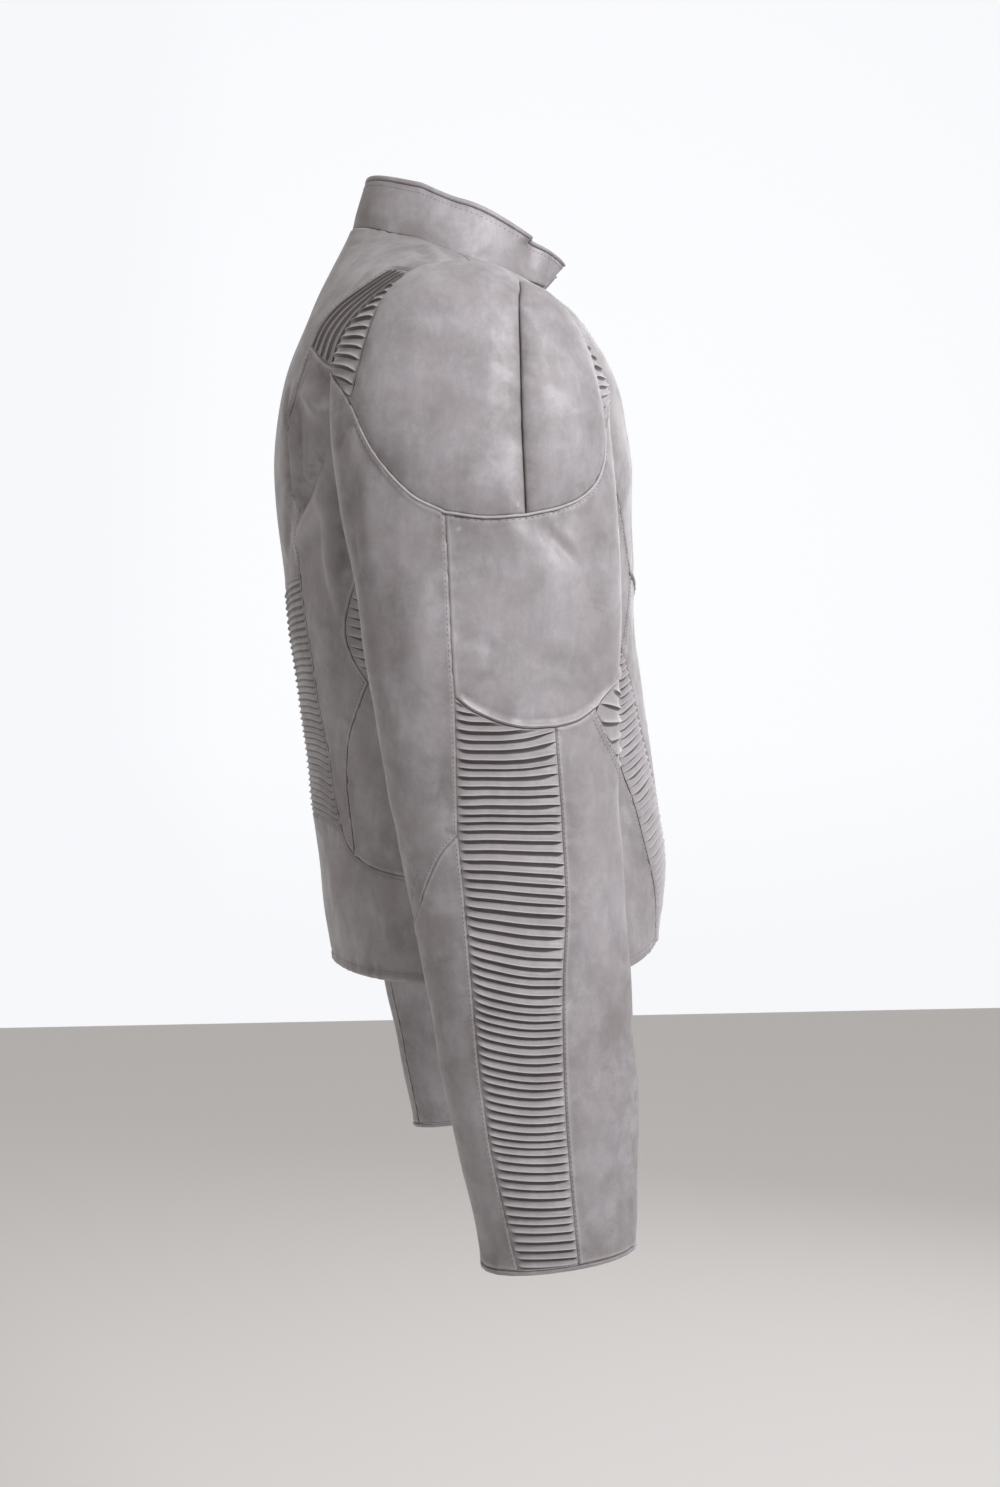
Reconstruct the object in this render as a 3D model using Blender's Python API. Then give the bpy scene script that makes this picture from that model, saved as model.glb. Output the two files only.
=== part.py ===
"""Short fitted leather jacket, worn open, as hollow cut-and-sewn cloth in its worn form.

Metres, +Z up. The front faces -Y and the wearer's left is +X. The origin is the middle of the
neck opening at the level of the side of the neck, where the shoulders carry the jacket.

Two smooth surfaces hold the form. The torso is a stack of rings from the neck seam to the hem,
read by u (0 at the centre back, 1 at the centre front, negative on the wearer's right) and by
v (the number of the ring). The sleeve leaves the armhole, which is a closed curve on the torso,
and is a stack of rings read by an angle in degrees (0 outside, 90 in front, -90 behind) and by
the number of the ring. Every piece is a wall between seams drawn on one of these surfaces.
"""

import math

import bmesh
import bpy
import numpy as np
from mathutils import Vector
from mathutils.geometry import delaunay_2d_cdt

MM = 0.001
WALL = 2.0 * MM  # leather with its backing
SEAM_PULL = 0.15 * MM  # each piece stops this far from its seam, so two are 0.3 mm apart
ARMHOLE_PULL = 0.4 * MM
CELL = 26 * MM  # length of a plain wall's facets
NECK_CELL = 12 * MM
LINE_POINTS = 60  # points of a dense line
MITRE_LIMIT = 0.35  # how far a sharp corner may be pulled in
SHARP_EDGE = 40  # degrees
SIDES = (("left", 1), ("right", -1))

# ---------------------------------------------------------------------------- form of the torso
RING_COLUMNS = (
    "back_y", "back_z", "side_x", "side_y", "side_z", "front_y", "front_z", "power", "half_gap", "drop",
)
TORSO_RINGS = {  # metres; power 2 is an ellipse, half_gap half the open front, drop a shoulder's slope
    "neck seam": (0.0669, 0.026, 0.062, -0.006, 0.005, -0.0756, -0.0133, 2.1, 0.0180, 0.0085),
    "collar bone": (0.0830, -0.006, 0.110, -0.012, -0.010, -0.0880, -0.0350, 2.1, 0.0175, 0.008),
    "shoulder": (0.0995, -0.042, 0.154, -0.016, -0.028, -0.1080, -0.0640, 2.2, 0.0170, 0.0105),
    "shoulder blade": (0.1160, -0.085, 0.180, -0.010, -0.068, -0.1200, -0.0950, 2.4, 0.0165, 0.010),
    "upper chest": (0.1230, -0.140, 0.174, -0.002, -0.135, -0.1290, -0.1400, 2.6, 0.0170, 0.006),
    "underarm": (0.1185, -0.205, 0.154, 0.000, -0.205, -0.1350, -0.2050, 2.5, 0.0190, 0.002),
    "lower chest": (0.1110, -0.270, 0.146, 0.000, -0.270, -0.1390, -0.2700, 2.4, 0.0220, 0.0),
    "waist": (0.1000, -0.345, 0.139, -0.008, -0.345, -0.1490, -0.3450, 2.3, 0.0260, 0.0),
    "hip": (0.0910, -0.430, 0.150, -0.025, -0.430, -0.1590, -0.4180, 2.3, 0.0300, 0.0),
    "hem": (0.0790, -0.506, 0.160, -0.033, -0.506, -0.1530, -0.4870, 2.3, 0.0340, 0.0),
}
COLLAR_TOP = (0.0552, 0.0645, 0.0520, -0.006, 0.0486, -0.0880, 0.0040, 2.1, 0.0, 0.0085)
DROP_FORWARD = 2.4  # the drop grows by this share from the side to the front, and fades behind
LEFT_FLARE = 11 * MM  # the left front hangs this much further forward at the hem

# ---------------------------------------------------------------------------- form of a sleeve
SLEEVE_COLUMNS = ("out_x", "out_z", "in_x", "in_z", "front_y", "back_y", "front_lift", "front_drop")
SLEEVE_RINGS = {  # the armhole itself is ring 0
    "cap start": (0.205, -0.050, 0.163, -0.203, -0.0855, 0.0900, -0.003, 0.026),
    "cap": (0.234, -0.081, 0.162, -0.211, -0.0845, 0.0930, -0.002, 0.030),
    "cap side": (0.246, -0.150, 0.161, -0.226, -0.0860, 0.0880, 0.001, 0.012),
    "upper arm": (0.247, -0.225, 0.160, -0.247, -0.0895, 0.0785, 0.000, 0.004),
    "above elbow": (0.249, -0.303, 0.165, -0.308, -0.0890, 0.0690, 0.000, 0.0),
    "elbow": (0.251, -0.385, 0.170, -0.385, -0.0893, 0.0555, 0.000, 0.0),
    "below elbow": (0.253, -0.460, 0.176, -0.460, -0.0922, 0.0408, 0.000, 0.0),
    "forearm": (0.255, -0.550, 0.182, -0.550, -0.0992, 0.0252, 0.000, 0.0),
    "above cuff": (0.256, -0.635, 0.188, -0.633, -0.0985, 0.0070, 0.002, 0.0),
    "cuff": (0.256, -0.667, 0.189, -0.664, -0.0960, -0.0005, 0.006, 0.0),
}
SLEEVE_POWER = 2.2
ARMHOLE = {"middle_u": 0.485, "middle_v": 3.62, "up": 1.36, "down": 1.42, "front": 0.135, "back": 0.150}
ARMHOLE_POWER = 0.9
ARMHOLE_STEP = 12  # degrees between the stations on the armhole
ARMHOLE_MARGIN = 3  # no station stands closer than this to the end of a piece
CUFF_LEVEL = 9.90  # the walls stop here, and the bound edge follows
CUFF_GAP = 0.02
HEM_LEVEL = 9.0
SIDE_SEAM_U, RIB_OUTER_U, RIB_INNER_U = 0.49, 0.842, 0.889  # where seams of each half meet the hem
# Where seams start on the armhole, in degrees round the sleeve.
INSERT_ANGLES = (-24.5, -85)  # the shoulder's tucked piece
SIDE_BACK_ANGLE, CHEST_ANGLE = -124.5, 120
CAP_BACK_ANGLE, CAP_CENTRE_ANGLE, CAP_FRONT_ANGLE = -28, 18, 35
CAP_RIB_ANGLE = 88
UNDER_ANGLE = 112  # the under-sleeve's seams
STRIP_ANGLES = (-36, 6.5)  # the ribbed strip at the cuff


def on_armhole(angle):
    """Where the armhole lies on the torso, as u and v, at an angle round the sleeve."""
    a = np.radians(angle)
    up = np.where(np.cos(a) > 0, ARMHOLE["up"], ARMHOLE["down"]) * np.cos(a)
    wide = np.where(np.sin(a) > 0, ARMHOLE["front"], ARMHOLE["back"])
    return (
        ARMHOLE["middle_u"] + wide * np.sign(np.sin(a)) * np.abs(np.sin(a)) ** ARMHOLE_POWER,
        ARMHOLE["middle_v"] - up,
    )


# ---------------------------------------------------------------------------- seams
# Each seam is drawn through its knots. On a sleeve a knot is (angle, level), on the torso (u, v).
SLEEVE_SEAMS = {
    "cap centre": ((CAP_CENTRE_ANGLE, 0), (17, 0.9), (15.5, 1.6), (14.5, 2.2), (13, 3.0), (11.5, 3.77)),
    "cap back tip": ((CAP_BACK_ANGLE, 0), (-29.5, 0.4)),
    "cap back": ((-29.5, 0.4), (-31, 0.82), (-36, 1.18), (-42, 1.58), (-48, 1.95), (-54, 2.25), (-61.5, 2.5)),
    "cap front tip": ((CAP_FRONT_ANGLE, 0), (37, 0.4)),
    "cap front": ((37, 0.4), (44, 0.9), (52, 1.35), (58, 1.75), (62, 2.15), (64, 2.5)),
    "cap low back": ((-61.5, 2.5), (-50, 3.10), (-34, 3.55), (-18.5, 3.75)),
    "cap low middle": ((-18.5, 3.75), (-3, 3.80), (11.5, 3.77)),
    "cap low front": ((11.5, 3.77), (27, 3.67), (41, 3.51), (53, 3.26), (61, 2.92), (64, 2.5)),
    "insert low back": ((-CAP_RIB_ANGLE, 0), (-84, 0.8), (-75, 1.85), (-61.5, 2.5)),
    "insert low front": ((64, 2.5), (76, 1.85), (84, 0.8), (CAP_RIB_ANGLE, 0)),
    "outer back": ((-18.5, 3.75), (-19.8, 4.4), (-21.5, 5.2)),
    "strip back high": ((-21.5, 5.2), (-24, 5.6), (-29, 6.23)),
    "strip back low": (
        (-29, 6.23), (-32.5, 6.9), (-36.5, 7.5), (-40, 8.1), (-40.5, 8.6), (-38.5, 9.2),
        (STRIP_ANGLES[0], CUFF_LEVEL),
    ),
    "strip front": (
        (20, 5.42), (20.5, 6.1), (19, 6.78), (11.8, 7.4), (6.7, 8.0), (5.2, 8.7), (5.8, 9.4),
        (STRIP_ANGLES[1], CUFF_LEVEL),
    ),
    "elbow line": ((-UNDER_ANGLE, 7.1), (-92, 7.02), (-71, 6.85), (-54, 6.6), (-42, 6.40), (-29, 6.23)),
    "round low back": ((-21.5, 5.2), (-13, 5.31), (3, 5.42), (20, 5.42)),
    "round low middle": ((20, 5.42), (33, 5.37), (46, 5.27)),
    "round low front": ((46, 5.27), (59, 5.13), (85, 4.97), (UNDER_ANGLE, 4.75)),
    "gusset low": ((46, 5.30), (62, 5.57), (88, 5.85), (UNDER_ANGLE, 6.2)),
    "under back high": ((-UNDER_ANGLE, 0), (-UNDER_ANGLE, 3.5), (-UNDER_ANGLE, 7.1)),
    "under back low": ((-UNDER_ANGLE, 7.1), (-UNDER_ANGLE, 8.5), (-UNDER_ANGLE, CUFF_LEVEL)),
    "under front high": ((UNDER_ANGLE, 0), (UNDER_ANGLE, 2.5), (UNDER_ANGLE, 4.75)),
    "under front middle": ((UNDER_ANGLE, 4.75), (UNDER_ANGLE, 6.2)),
    "under front low": ((UNDER_ANGLE, 6.2), (UNDER_ANGLE, 8.0), (UNDER_ANGLE, CUFF_LEVEL)),
}
TORSO_SEAMS = {
    "shoulder line": ((0.5, 0), (0.495, 1.2), on_armhole(0)),
    "insert top": ((0.352, 2.03), on_armhole(INSERT_ANGLES[0])),
    "insert inner": ((0.352, 2.03), (0.30, 2.28), (0.254, 2.45), (0.224, 2.68), (0.217, 2.98)),
    "insert low": ((0.217, 2.98), (0.279, 3.36), on_armhole(INSERT_ANGLES[1])),
    "princess high": ((0.217, 2.98), (0.195, 3.6), (0.18, 4.3), (0.170, 4.9), (0.167, 5.45)),
    "princess low": ((0.167, 5.45), (0.167, 6.1), (0.166, 6.8), (0.175, 7.4), (0.19, 7.72)),
    "rib back top": ((-0.167, 5.45), (0, 5.45), (0.167, 5.45)),
    "band middle": ((-0.19, 7.72), (-0.12, 7.63), (0, 7.60), (0.12, 7.63), (0.19, 7.72)),
    "band tail": ((0.19, 7.72), (0.203, 7.83), (0.222, 7.92)),
    "band side": ((0.222, 7.92), (0.275, 8.02), (0.36, 8.09), (SIDE_SEAM_U, 8.14)),
    "side back high": (on_armhole(SIDE_BACK_ANGLE), (0.335, 4.9), (0.312, 5.48)),
    "leaf back": ((0.312, 5.48), (0.288, 5.8), (0.276, 6.05), (0.285, 6.28), (0.306, 6.50)),
    "leaf front": ((0.322, 5.48), (0.362, 5.8), (0.376, 6.05), (0.358, 6.30), (0.316, 6.50)),
    "side back low": ((0.306, 6.50), (0.271, 6.76), (0.240, 7.05), (0.222, 7.4), (0.222, 7.92)),
    "side high": (on_armhole(180), (SIDE_SEAM_U, 6.5), (SIDE_SEAM_U, 8.14)),
    "side low": ((SIDE_SEAM_U, 8.14), (SIDE_SEAM_U, HEM_LEVEL)),
    "chest line": (
        on_armhole(CHEST_ANGLE), (0.68, 4.36), (0.733, 4.47), (0.771, 4.78), (0.793, 5.12), (0.806, 5.36)
    ),
    "rib front inner high": ((0.806, 5.36), (0.79, 5.8), (0.764, 6.2)),
    "rib front inner": (
        (0.768, 6.2), (0.796, 6.55), (0.822, 6.9), (0.847, 7.3), (0.866, 7.7), (0.882, 8.1), (0.889, 8.5),
        (RIB_INNER_U, HEM_LEVEL),
    ),
    "rib front outer": (
        (0.760, 6.2), (0.742, 6.6), (0.728, 7.0), (0.726, 7.25), (0.738, 7.5), (0.750, 7.85), (0.768, 8.2),
        (0.800, 8.6), (RIB_OUTER_U, HEM_LEVEL),
    ),
}
CHEST_END_LEVEL = 5.62  # where the chest piece's round lower seam meets the front edge

# ---------------------------------------------------------------------------- tucks and other sizes
TUCKS = {"strip": 63, "back": 22, "front": 11, "insert": 4, "head": 4, "leaf": 3}  # 200 in all
TUCK_HEIGHT = 1.6 * MM
TUCK_RIDGE = 0.72  # where the ridge stands in each tuck, as a share of its width
NET_MARGIN = 0.45  # the net of a plain piece keeps this share of a facet from its edge
TUCK_END = 0.10  # share of a tuck's length that is pinched down to the seam at each end
CAP_PADDING = 4.0 * MM
PADDING_EDGE = 24 * MM  # the padding swells over this width along its edge
PIPING_RADIUS = 1.1 * MM
PIPING_ENDS = (0.01, 0.99)  # shares of the seam where the cord starts and stops
PIPING_POINTS = 40
REST_GAP = 0.3 * MM
COLLAR_ANGLE = 163  # degrees from the centre back to each front end
COLLAR_WALL = 2.8 * MM
COLLAR_EDGE = 0.10  # share of the collar's height taken by the turned top edge
EDGE_PROUD = 0.4 * MM  # a turned or bound edge stands this much out from the wall
CUFF_WALL = 2.8 * MM
CUFF_POINTS = 32
ZIP_TAPE = {"under": 4 * MM, "over": 9 * MM, "thickness": 1.0 * MM, "depth": 2.8 * MM}
ZIP_TEETH = {"width": 3.0 * MM, "thickness": 2.0 * MM}
ZIP_START, ZIP_END = 0.06, 8.94
SLIDER = {  # step is how far above and below it, in rings, the zip's direction is taken
    "level": 8.55, "step": 0.2, "width": 8.0 * MM, "length": 11.0 * MM, "plate": 1.3 * MM,
    "post": 1.6 * MM, "clear": 0.35 * MM, "margin": 0.4 * MM,
}
LUG = {"width": 1.4 * MM, "length": 3.4 * MM, "height": 3.2 * MM, "apart": 4.4 * MM}
PULL = {"radius": 0.9 * MM, "width": 3.6 * MM, "length": 19.0 * MM, "thickness": 1.1 * MM}
BARREL_SIDES = 16

FINISHES = {
    "leather": ((0.37, 0.35, 0.37), 0.62, 0.0),
    "ribbed leather": ((0.36, 0.34, 0.36), 0.60, 0.0),
    "zip tape": ((0.55, 0.54, 0.55), 0.85, 0.0),
    "metal": ((0.62, 0.62, 0.63), 0.28, 1.0),
}


# ---------------------------------------------------------------------------- surfaces
def through_rows(rows, at):
    """A smooth curve through the rows of an array, read at row numbers that may be fractions."""
    last = len(rows) - 1
    at = np.clip(np.asarray(at, float), 0, last)
    low = np.clip(at.astype(int), 0, last - 1)
    f = (at - low)[..., None]
    padded = np.concatenate([[2 * rows[0] - rows[1]], rows, [2 * rows[-1] - rows[-2]]])
    a, b, c, d = (padded[low + k] for k in range(4))
    return 0.5 * (2 * b + (c - a) * f + (2 * a - 5 * b + 4 * c - d) * f**2 + (3 * b - a - 3 * c + d) * f**3)


def ease(value, start, end):
    """0 before start, 1 after end, smooth between."""
    f = np.clip((value - start) / (end - start), 0, 1)
    return f * f * (3 - 2 * f)


def ring(row, turn):
    """Points of one torso or collar ring; turn is 0 at the back and pi at the front."""
    back_y, back_z, side_x, side_y, side_z, front_y, front_z, power, _, drop = np.moveaxis(row, -1, 0)
    along = np.cos(turn)
    share = np.sign(along) * np.abs(along) ** (2 / power)
    x = side_x * np.sign(np.sin(turn)) * np.abs(np.sin(turn)) ** (2 / power)
    y = side_y + share * np.where(along > 0, back_y - side_y, side_y - front_y)
    z = side_z + along**2 * (np.where(along > 0, back_z, front_z) - side_z)
    z = z - drop * (1 - along**2) * np.maximum(0, 1 - DROP_FORWARD * along)
    return np.stack([x, y, z], -1)


class Surface:
    """A fine grid of points with normals, read between its points by row and column."""

    def __init__(self, grid, outward_from):
        self.grid = grid
        across = np.cross(np.gradient(grid, axis=0), np.gradient(grid, axis=1))
        across /= np.maximum(np.linalg.norm(across, axis=2, keepdims=True), 1e-12)
        turned = np.sign(((grid - outward_from) * across).sum(-1).mean())
        self.normals = across * turned

    def read(self, source, row, column):
        row = np.clip(row, 0, source.shape[0] - 1.000001)
        column = np.clip(column, 0, source.shape[1] - 1.000001)
        i, j = row.astype(int), column.astype(int)
        f, g = (row - i)[..., None], (column - j)[..., None]
        near = source[i, j] * (1 - g) + source[i, j + 1] * g
        far = source[i + 1, j] * (1 - g) + source[i + 1, j + 1] * g
        return near * (1 - f) + far * f


RING_TABLE = np.array(list(TORSO_RINGS.values()))
FINE_V, FINE_U = 361, 241


def torso_surface(side):
    """One half of the torso, each ring divided evenly by length from the back to the front."""
    level = np.linspace(0, len(RING_TABLE) - 1, FINE_V)
    turn = np.linspace(0, math.pi, 721)
    rough = ring(through_rows(RING_TABLE, level)[:, None, :], turn[None, :])
    steps = np.linalg.norm(np.diff(rough, axis=1), axis=2)
    length = np.concatenate([np.zeros((FINE_V, 1)), np.cumsum(steps, 1)], 1)
    even = np.empty((FINE_V, FINE_U, 3))
    for i in range(FINE_V):
        wanted = np.linspace(0, length[i, -1], FINE_U)
        for k in range(3):
            even[i, :, k] = np.interp(wanted, length[i], rough[i, :, k])
    even[..., 0] *= side
    if side > 0:
        share = np.linspace(0, 1, FINE_U)[None, :]
        even[..., 1] -= LEFT_FLARE * ease(share, 0.72, 0.98) * ease(level[:, None], 5.5, 9)
    return Surface(even, even.mean(axis=1, keepdims=True) * [0, 1, 1]), length[:, -1]


TORSO = {side: torso_surface(side)[0] for _, side in SIDES}
HALF_GIRTH = torso_surface(-1)[1]


def torso(u, v, what="grid"):
    """Points or normals of the torso; negative u is the wearer's right."""
    u, v = np.broadcast_arrays(np.asarray(u, float), np.asarray(v, float))
    row = v / (len(RING_TABLE) - 1) * (FINE_V - 1)
    column = np.abs(u) * (FINE_U - 1)
    found = {s: TORSO[s].read(getattr(TORSO[s], what), row, column) for s in (1, -1)}
    return np.where((u < 0)[..., None], found[-1], found[1])


def girth_share(v, distance):
    """The step in u that covers this distance on ring v."""
    level = np.linspace(0, len(RING_TABLE) - 1, FINE_V)
    return distance / np.interp(v, level, HALF_GIRTH)


def front_edge(v, beyond=0.0):
    """u of the front edge, or of a line that far beyond it towards the centre."""
    half_gap = through_rows(RING_TABLE, v)[..., RING_COLUMNS.index("half_gap")]
    return 1 - girth_share(v, half_gap - beyond)


FINE_W, FINE_ANGLE = 401, 241


def sleeve_surface(side):
    """A tube from the armhole through squared ellipses, smooth along its length."""
    angle = np.linspace(0, 360, FINE_ANGLE)
    u, v = on_armhole(angle)
    rings = [torso(side * u, v)]
    c, s = np.cos(np.radians(angle)), np.sin(np.radians(angle))
    outwards = (np.sign(c) * np.abs(c) ** (2 / SLEEVE_POWER))[:, None]
    forwards = (np.sign(s) * np.abs(s) ** (2 / SLEEVE_POWER))[:, None]
    high_front = (np.maximum(c, 0) * np.maximum(s, 0) ** 2)[:, None]
    for out_x, out_z, in_x, in_z, front_y, back_y, front_lift, front_drop in SLEEVE_RINGS.values():
        middle = np.array([(out_x + in_x) / 2 * side, (front_y + back_y) / 2, (out_z + in_z) / 2])
        to_outside = np.array([(out_x - in_x) / 2 * side, 0, (out_z - in_z) / 2])
        to_front = np.array([0, (front_y - back_y) / 2, front_lift])
        rings.append(middle + outwards * to_outside + forwards * to_front - high_front * [0, 0, front_drop])
    rows = np.array(rings).reshape(len(rings), -1)
    grid = through_rows(rows, np.linspace(0, len(rings) - 1, FINE_W)).reshape(FINE_W, FINE_ANGLE, 3)
    return Surface(grid, grid.mean(axis=1, keepdims=True))


SLEEVE = {side: sleeve_surface(side) for _, side in SIDES}


def sleeve(angle, level, what="grid", side=1):
    """Points or normals of one sleeve."""
    angle, level = np.broadcast_arrays(np.asarray(angle, float), np.asarray(level, float))
    row = level / len(SLEEVE_RINGS) * (FINE_W - 1)
    column = np.mod(angle, 360) / 360 * (FINE_ANGLE - 1)
    return SLEEVE[side].read(getattr(SLEEVE[side], what), row, column)


FINE_HEIGHT, FINE_SHARE = 21, 241


def collar_surface():
    """A band from the neck seam to the collar's top edge, straight between the two rings."""
    turn = np.radians(np.linspace(-COLLAR_ANGLE, COLLAR_ANGLE, FINE_SHARE))
    height = np.linspace(0, 1, FINE_HEIGHT)[:, None, None]
    rows = RING_TABLE[0] + (np.array(COLLAR_TOP) - RING_TABLE[0]) * height
    grid = ring(rows, turn[None, :])
    return Surface(grid, grid.mean(axis=(0, 1)))


COLLAR = collar_surface()


def collar(share, height, what="grid"):
    """share runs from 0 at the right front end to 1 at the left one."""
    share, height = np.broadcast_arrays(np.asarray(share, float), np.asarray(height, float))
    return COLLAR.read(getattr(COLLAR, what), height * (FINE_HEIGHT - 1), share * (FINE_SHARE - 1))


# ---------------------------------------------------------------------------- seams as dense lines
class Seam:
    """A dense line of places on a surface.

    The pieces at both sides share its stations. Its pulls say how far each piece stops from it.
    """

    def __init__(self, surface, line, stations=None, cell=CELL, pulls=SEAM_PULL):
        self.surface, self.line = surface, line
        points = surface(line[:, 0], line[:, 1])
        self.reach = np.concatenate([[0], np.cumsum(np.linalg.norm(np.diff(points, axis=0), axis=1))])
        self.length = self.reach[-1]
        if stations is None:
            stations = self.divided(np.linspace(0, 1, max(1, math.ceil(self.length / cell)) + 1))
        self.stations = stations
        self.pulls = np.broadcast_to(pulls, len(stations) - 1)

    def divided(self, shares):
        """Places at these shares of the line's real length."""
        wanted = np.asarray(shares) * self.length
        return np.stack([np.interp(wanted, self.reach, self.line[:, k]) for k in (0, 1)], -1)

    def back(self):
        return Seam(self.surface, self.line[::-1], self.stations[::-1], pulls=self.pulls[::-1])

    def moved(self, factor=(1, 1), shift=(0, 0)):
        line, stations = (places * factor + shift for places in (self.line, self.stations))
        return Seam(self.surface, line, stations, pulls=self.pulls)


def chain(*seams):
    """Seams end to end, with a straight step between two that do not touch."""
    line, stations, pulls = seams[0].line, seams[0].stations, seams[0].pulls
    for seam in seams[1:]:
        line = np.concatenate([line, seam.line])
        if np.allclose(stations[-1], seam.stations[0], atol=1e-6):
            stations = np.concatenate([stations, seam.stations[1:]])
            pulls = np.concatenate([pulls, seam.pulls])
        else:
            stations = np.concatenate([stations, seam.stations])
            pulls = np.concatenate([pulls, [SEAM_PULL], seam.pulls])
    return Seam(seams[0].surface, line, stations, pulls=pulls)


def drawn(surface, knots):
    """A smooth seam through its knots."""
    knots = np.array(knots, float)
    return Seam(surface, through_rows(knots, np.linspace(0, len(knots) - 1, 24 * (len(knots) - 1) + 1)))


def straight(surface, start, end, cell=CELL, pulls=SEAM_PULL):
    return Seam(surface, np.linspace(start, end, LINE_POINTS), cell=cell, pulls=pulls)


# ---------------------------------------------------------------------------- pieces between four seams
def patch(left, right, top, bottom, rows, columns):
    """Places inside four seams: each row runs from left to right, blended between all four."""
    a, b = left.divided(rows), right.divided(rows)
    c, d = top.divided(columns), bottom.divided(columns)
    c0, c1, d0, d1 = top.line[0], top.line[-1], bottom.line[0], bottom.line[-1]
    s, t = np.asarray(columns)[None, :, None], np.asarray(rows)[:, None, None]
    sides = a[:, None] * (1 - s) + b[:, None] * s
    ends = c[None] * (1 - t) + d[None] * t
    corners = (c0 * (1 - s) + c1 * s) * (1 - t) + (d0 * (1 - s) + d1 * s) * t
    return sides + ends - corners


def outline(left, right, top, bottom):
    """The stations once round a piece, where each lies round it from 0 to 4, and the pulls after them."""
    places, around, pulls = [], [], []
    for k, seam in enumerate((top, right, bottom.back(), left.back())):
        points = seam.surface(seam.stations[:, 0], seam.stations[:, 1])
        steps = np.linalg.norm(np.diff(points, axis=0), axis=1)
        share = np.concatenate([[0], np.cumsum(steps)]) / steps.sum()
        places.append(seam.stations[:-1])
        around.append(k + share[:-1])
        pulls.append(seam.pulls)
    return np.concatenate(places), np.concatenate(around), np.concatenate(pulls)


def pulled_in(points, normals, pulls, inside):
    """The outline moved in from each side by that side's pull, with mitred corners."""
    forward = np.roll(points, -1, axis=0) - points
    forward /= np.linalg.norm(forward, axis=1, keepdims=True)
    inward = np.cross(normals, forward)
    if ((inside - points) * inward).sum() < 0:
        inward = -inward
    inward /= np.linalg.norm(inward, axis=1, keepdims=True)
    before = np.roll(inward, 1, axis=0)
    facing = (inward * before).sum(1)
    mitre = np.clip(1 + facing, MITRE_LIMIT, 2)[:, None]
    pull = np.maximum(pulls, np.roll(pulls, 1))[:, None]
    return points + (inward + before) / mitre * pull


def edge_of(seams):
    """The edge of a piece: its places, where each lies round it, its points and its normals."""
    surface = seams[0].surface
    places, around, pulls = outline(*seams)
    points, normals = surface(*places.T), surface(*places.T, "normals")
    middle = patch(*seams, [0.5], [0.5])[0]
    return places, around, pulled_in(points, normals, pulls, surface(*middle.T)), normals


def side_faces(places):
    """Faces between the outer and inner edges, split alike in the two pieces at a seam."""
    count, faces = len(places), []
    for k in range(count):
        after = (k + 1) % count
        if tuple(places[k][::-1]) < tuple(places[after][::-1]):
            faces += [(k, after, after + count), (k, after + count, k + count)]
        else:
            faces += [(k, after, k + count), (after, after + count, k + count)]
    return faces


def grid_faces(index):
    a, b, c, d = index[:-1, :-1], index[1:, :-1], index[1:, 1:], index[:-1, 1:]
    faces = np.concatenate([np.stack([a, b, c], -1), np.stack([a, c, d], -1)])
    return faces.reshape(-1, 3).tolist()


def border(index, row_at, column_at):
    """Once round the edge of a grid: its vertices, and where each lies from 0 to 4."""
    around = [(vertex, at) for vertex, at in zip(index[0], column_at)]
    around += [(vertex, 1 + at) for vertex, at in zip(index[:, -1], row_at)]
    around += [(vertex, 3 - at) for vertex, at in zip(index[-1, ::-1], column_at[::-1])]
    around += [(vertex, 4 - at) for vertex, at in zip(index[::-1, 0], row_at[::-1])]
    return around


def zip_faces(outer, inner):
    """Triangles between two closed lines of vertices that may differ in number."""
    outer, inner = outer + [(outer[0][0], outer[0][1] + 4)], inner + [(inner[0][0], inner[0][1] + 4)]
    faces, i, j = [], 0, 0
    while i < len(outer) - 1 or j < len(inner) - 1:
        next_outer = outer[i + 1][1] if i < len(outer) - 1 else math.inf
        next_inner = inner[j + 1][1] if j < len(inner) - 1 else math.inf
        if next_outer <= next_inner:
            faces.append((outer[i][0], outer[i + 1][0], inner[j][0]))
            i += 1
        else:
            faces.append((outer[i][0], inner[j + 1][0], inner[j][0]))
            j += 1
    return [face for face in faces if len(set(face)) == 3]


def inner_steps(length, cell):
    """Shares of the rows or columns inside a piece, its edges left out and at least one of them."""
    return np.linspace(0, 1, max(2, round(length / cell)) + 1)[1:-1]


def material(finish):
    made = bpy.data.materials.get(finish)
    if made:
        return made
    colour, roughness, metallic = FINISHES[finish]
    made = bpy.data.materials.new(finish)
    made.use_nodes = True
    shader = made.node_tree.nodes["Principled BSDF"]
    shader.inputs["Base Color"].default_value = (*colour, 1)
    shader.inputs["Roughness"].default_value = roughness
    shader.inputs["Metallic"].default_value = metallic
    return made


def make_object(name, vertices, faces, finish):
    mesh = bpy.data.meshes.new(name)
    mesh.from_pydata([tuple(v) for v in vertices], [], [tuple(f) for f in faces])
    shape = bmesh.new()
    shape.from_mesh(mesh)
    bmesh.ops.recalc_face_normals(shape, faces=shape.faces)
    shape.to_mesh(mesh)
    shape.free()
    mesh.shade_smooth()
    mesh.set_sharp_from_angle(angle=math.radians(SHARP_EDGE))
    mesh.materials.append(material(finish))
    made = bpy.data.objects.new(name, mesh)
    bpy.context.scene.collection.objects.link(made)
    return made


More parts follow.
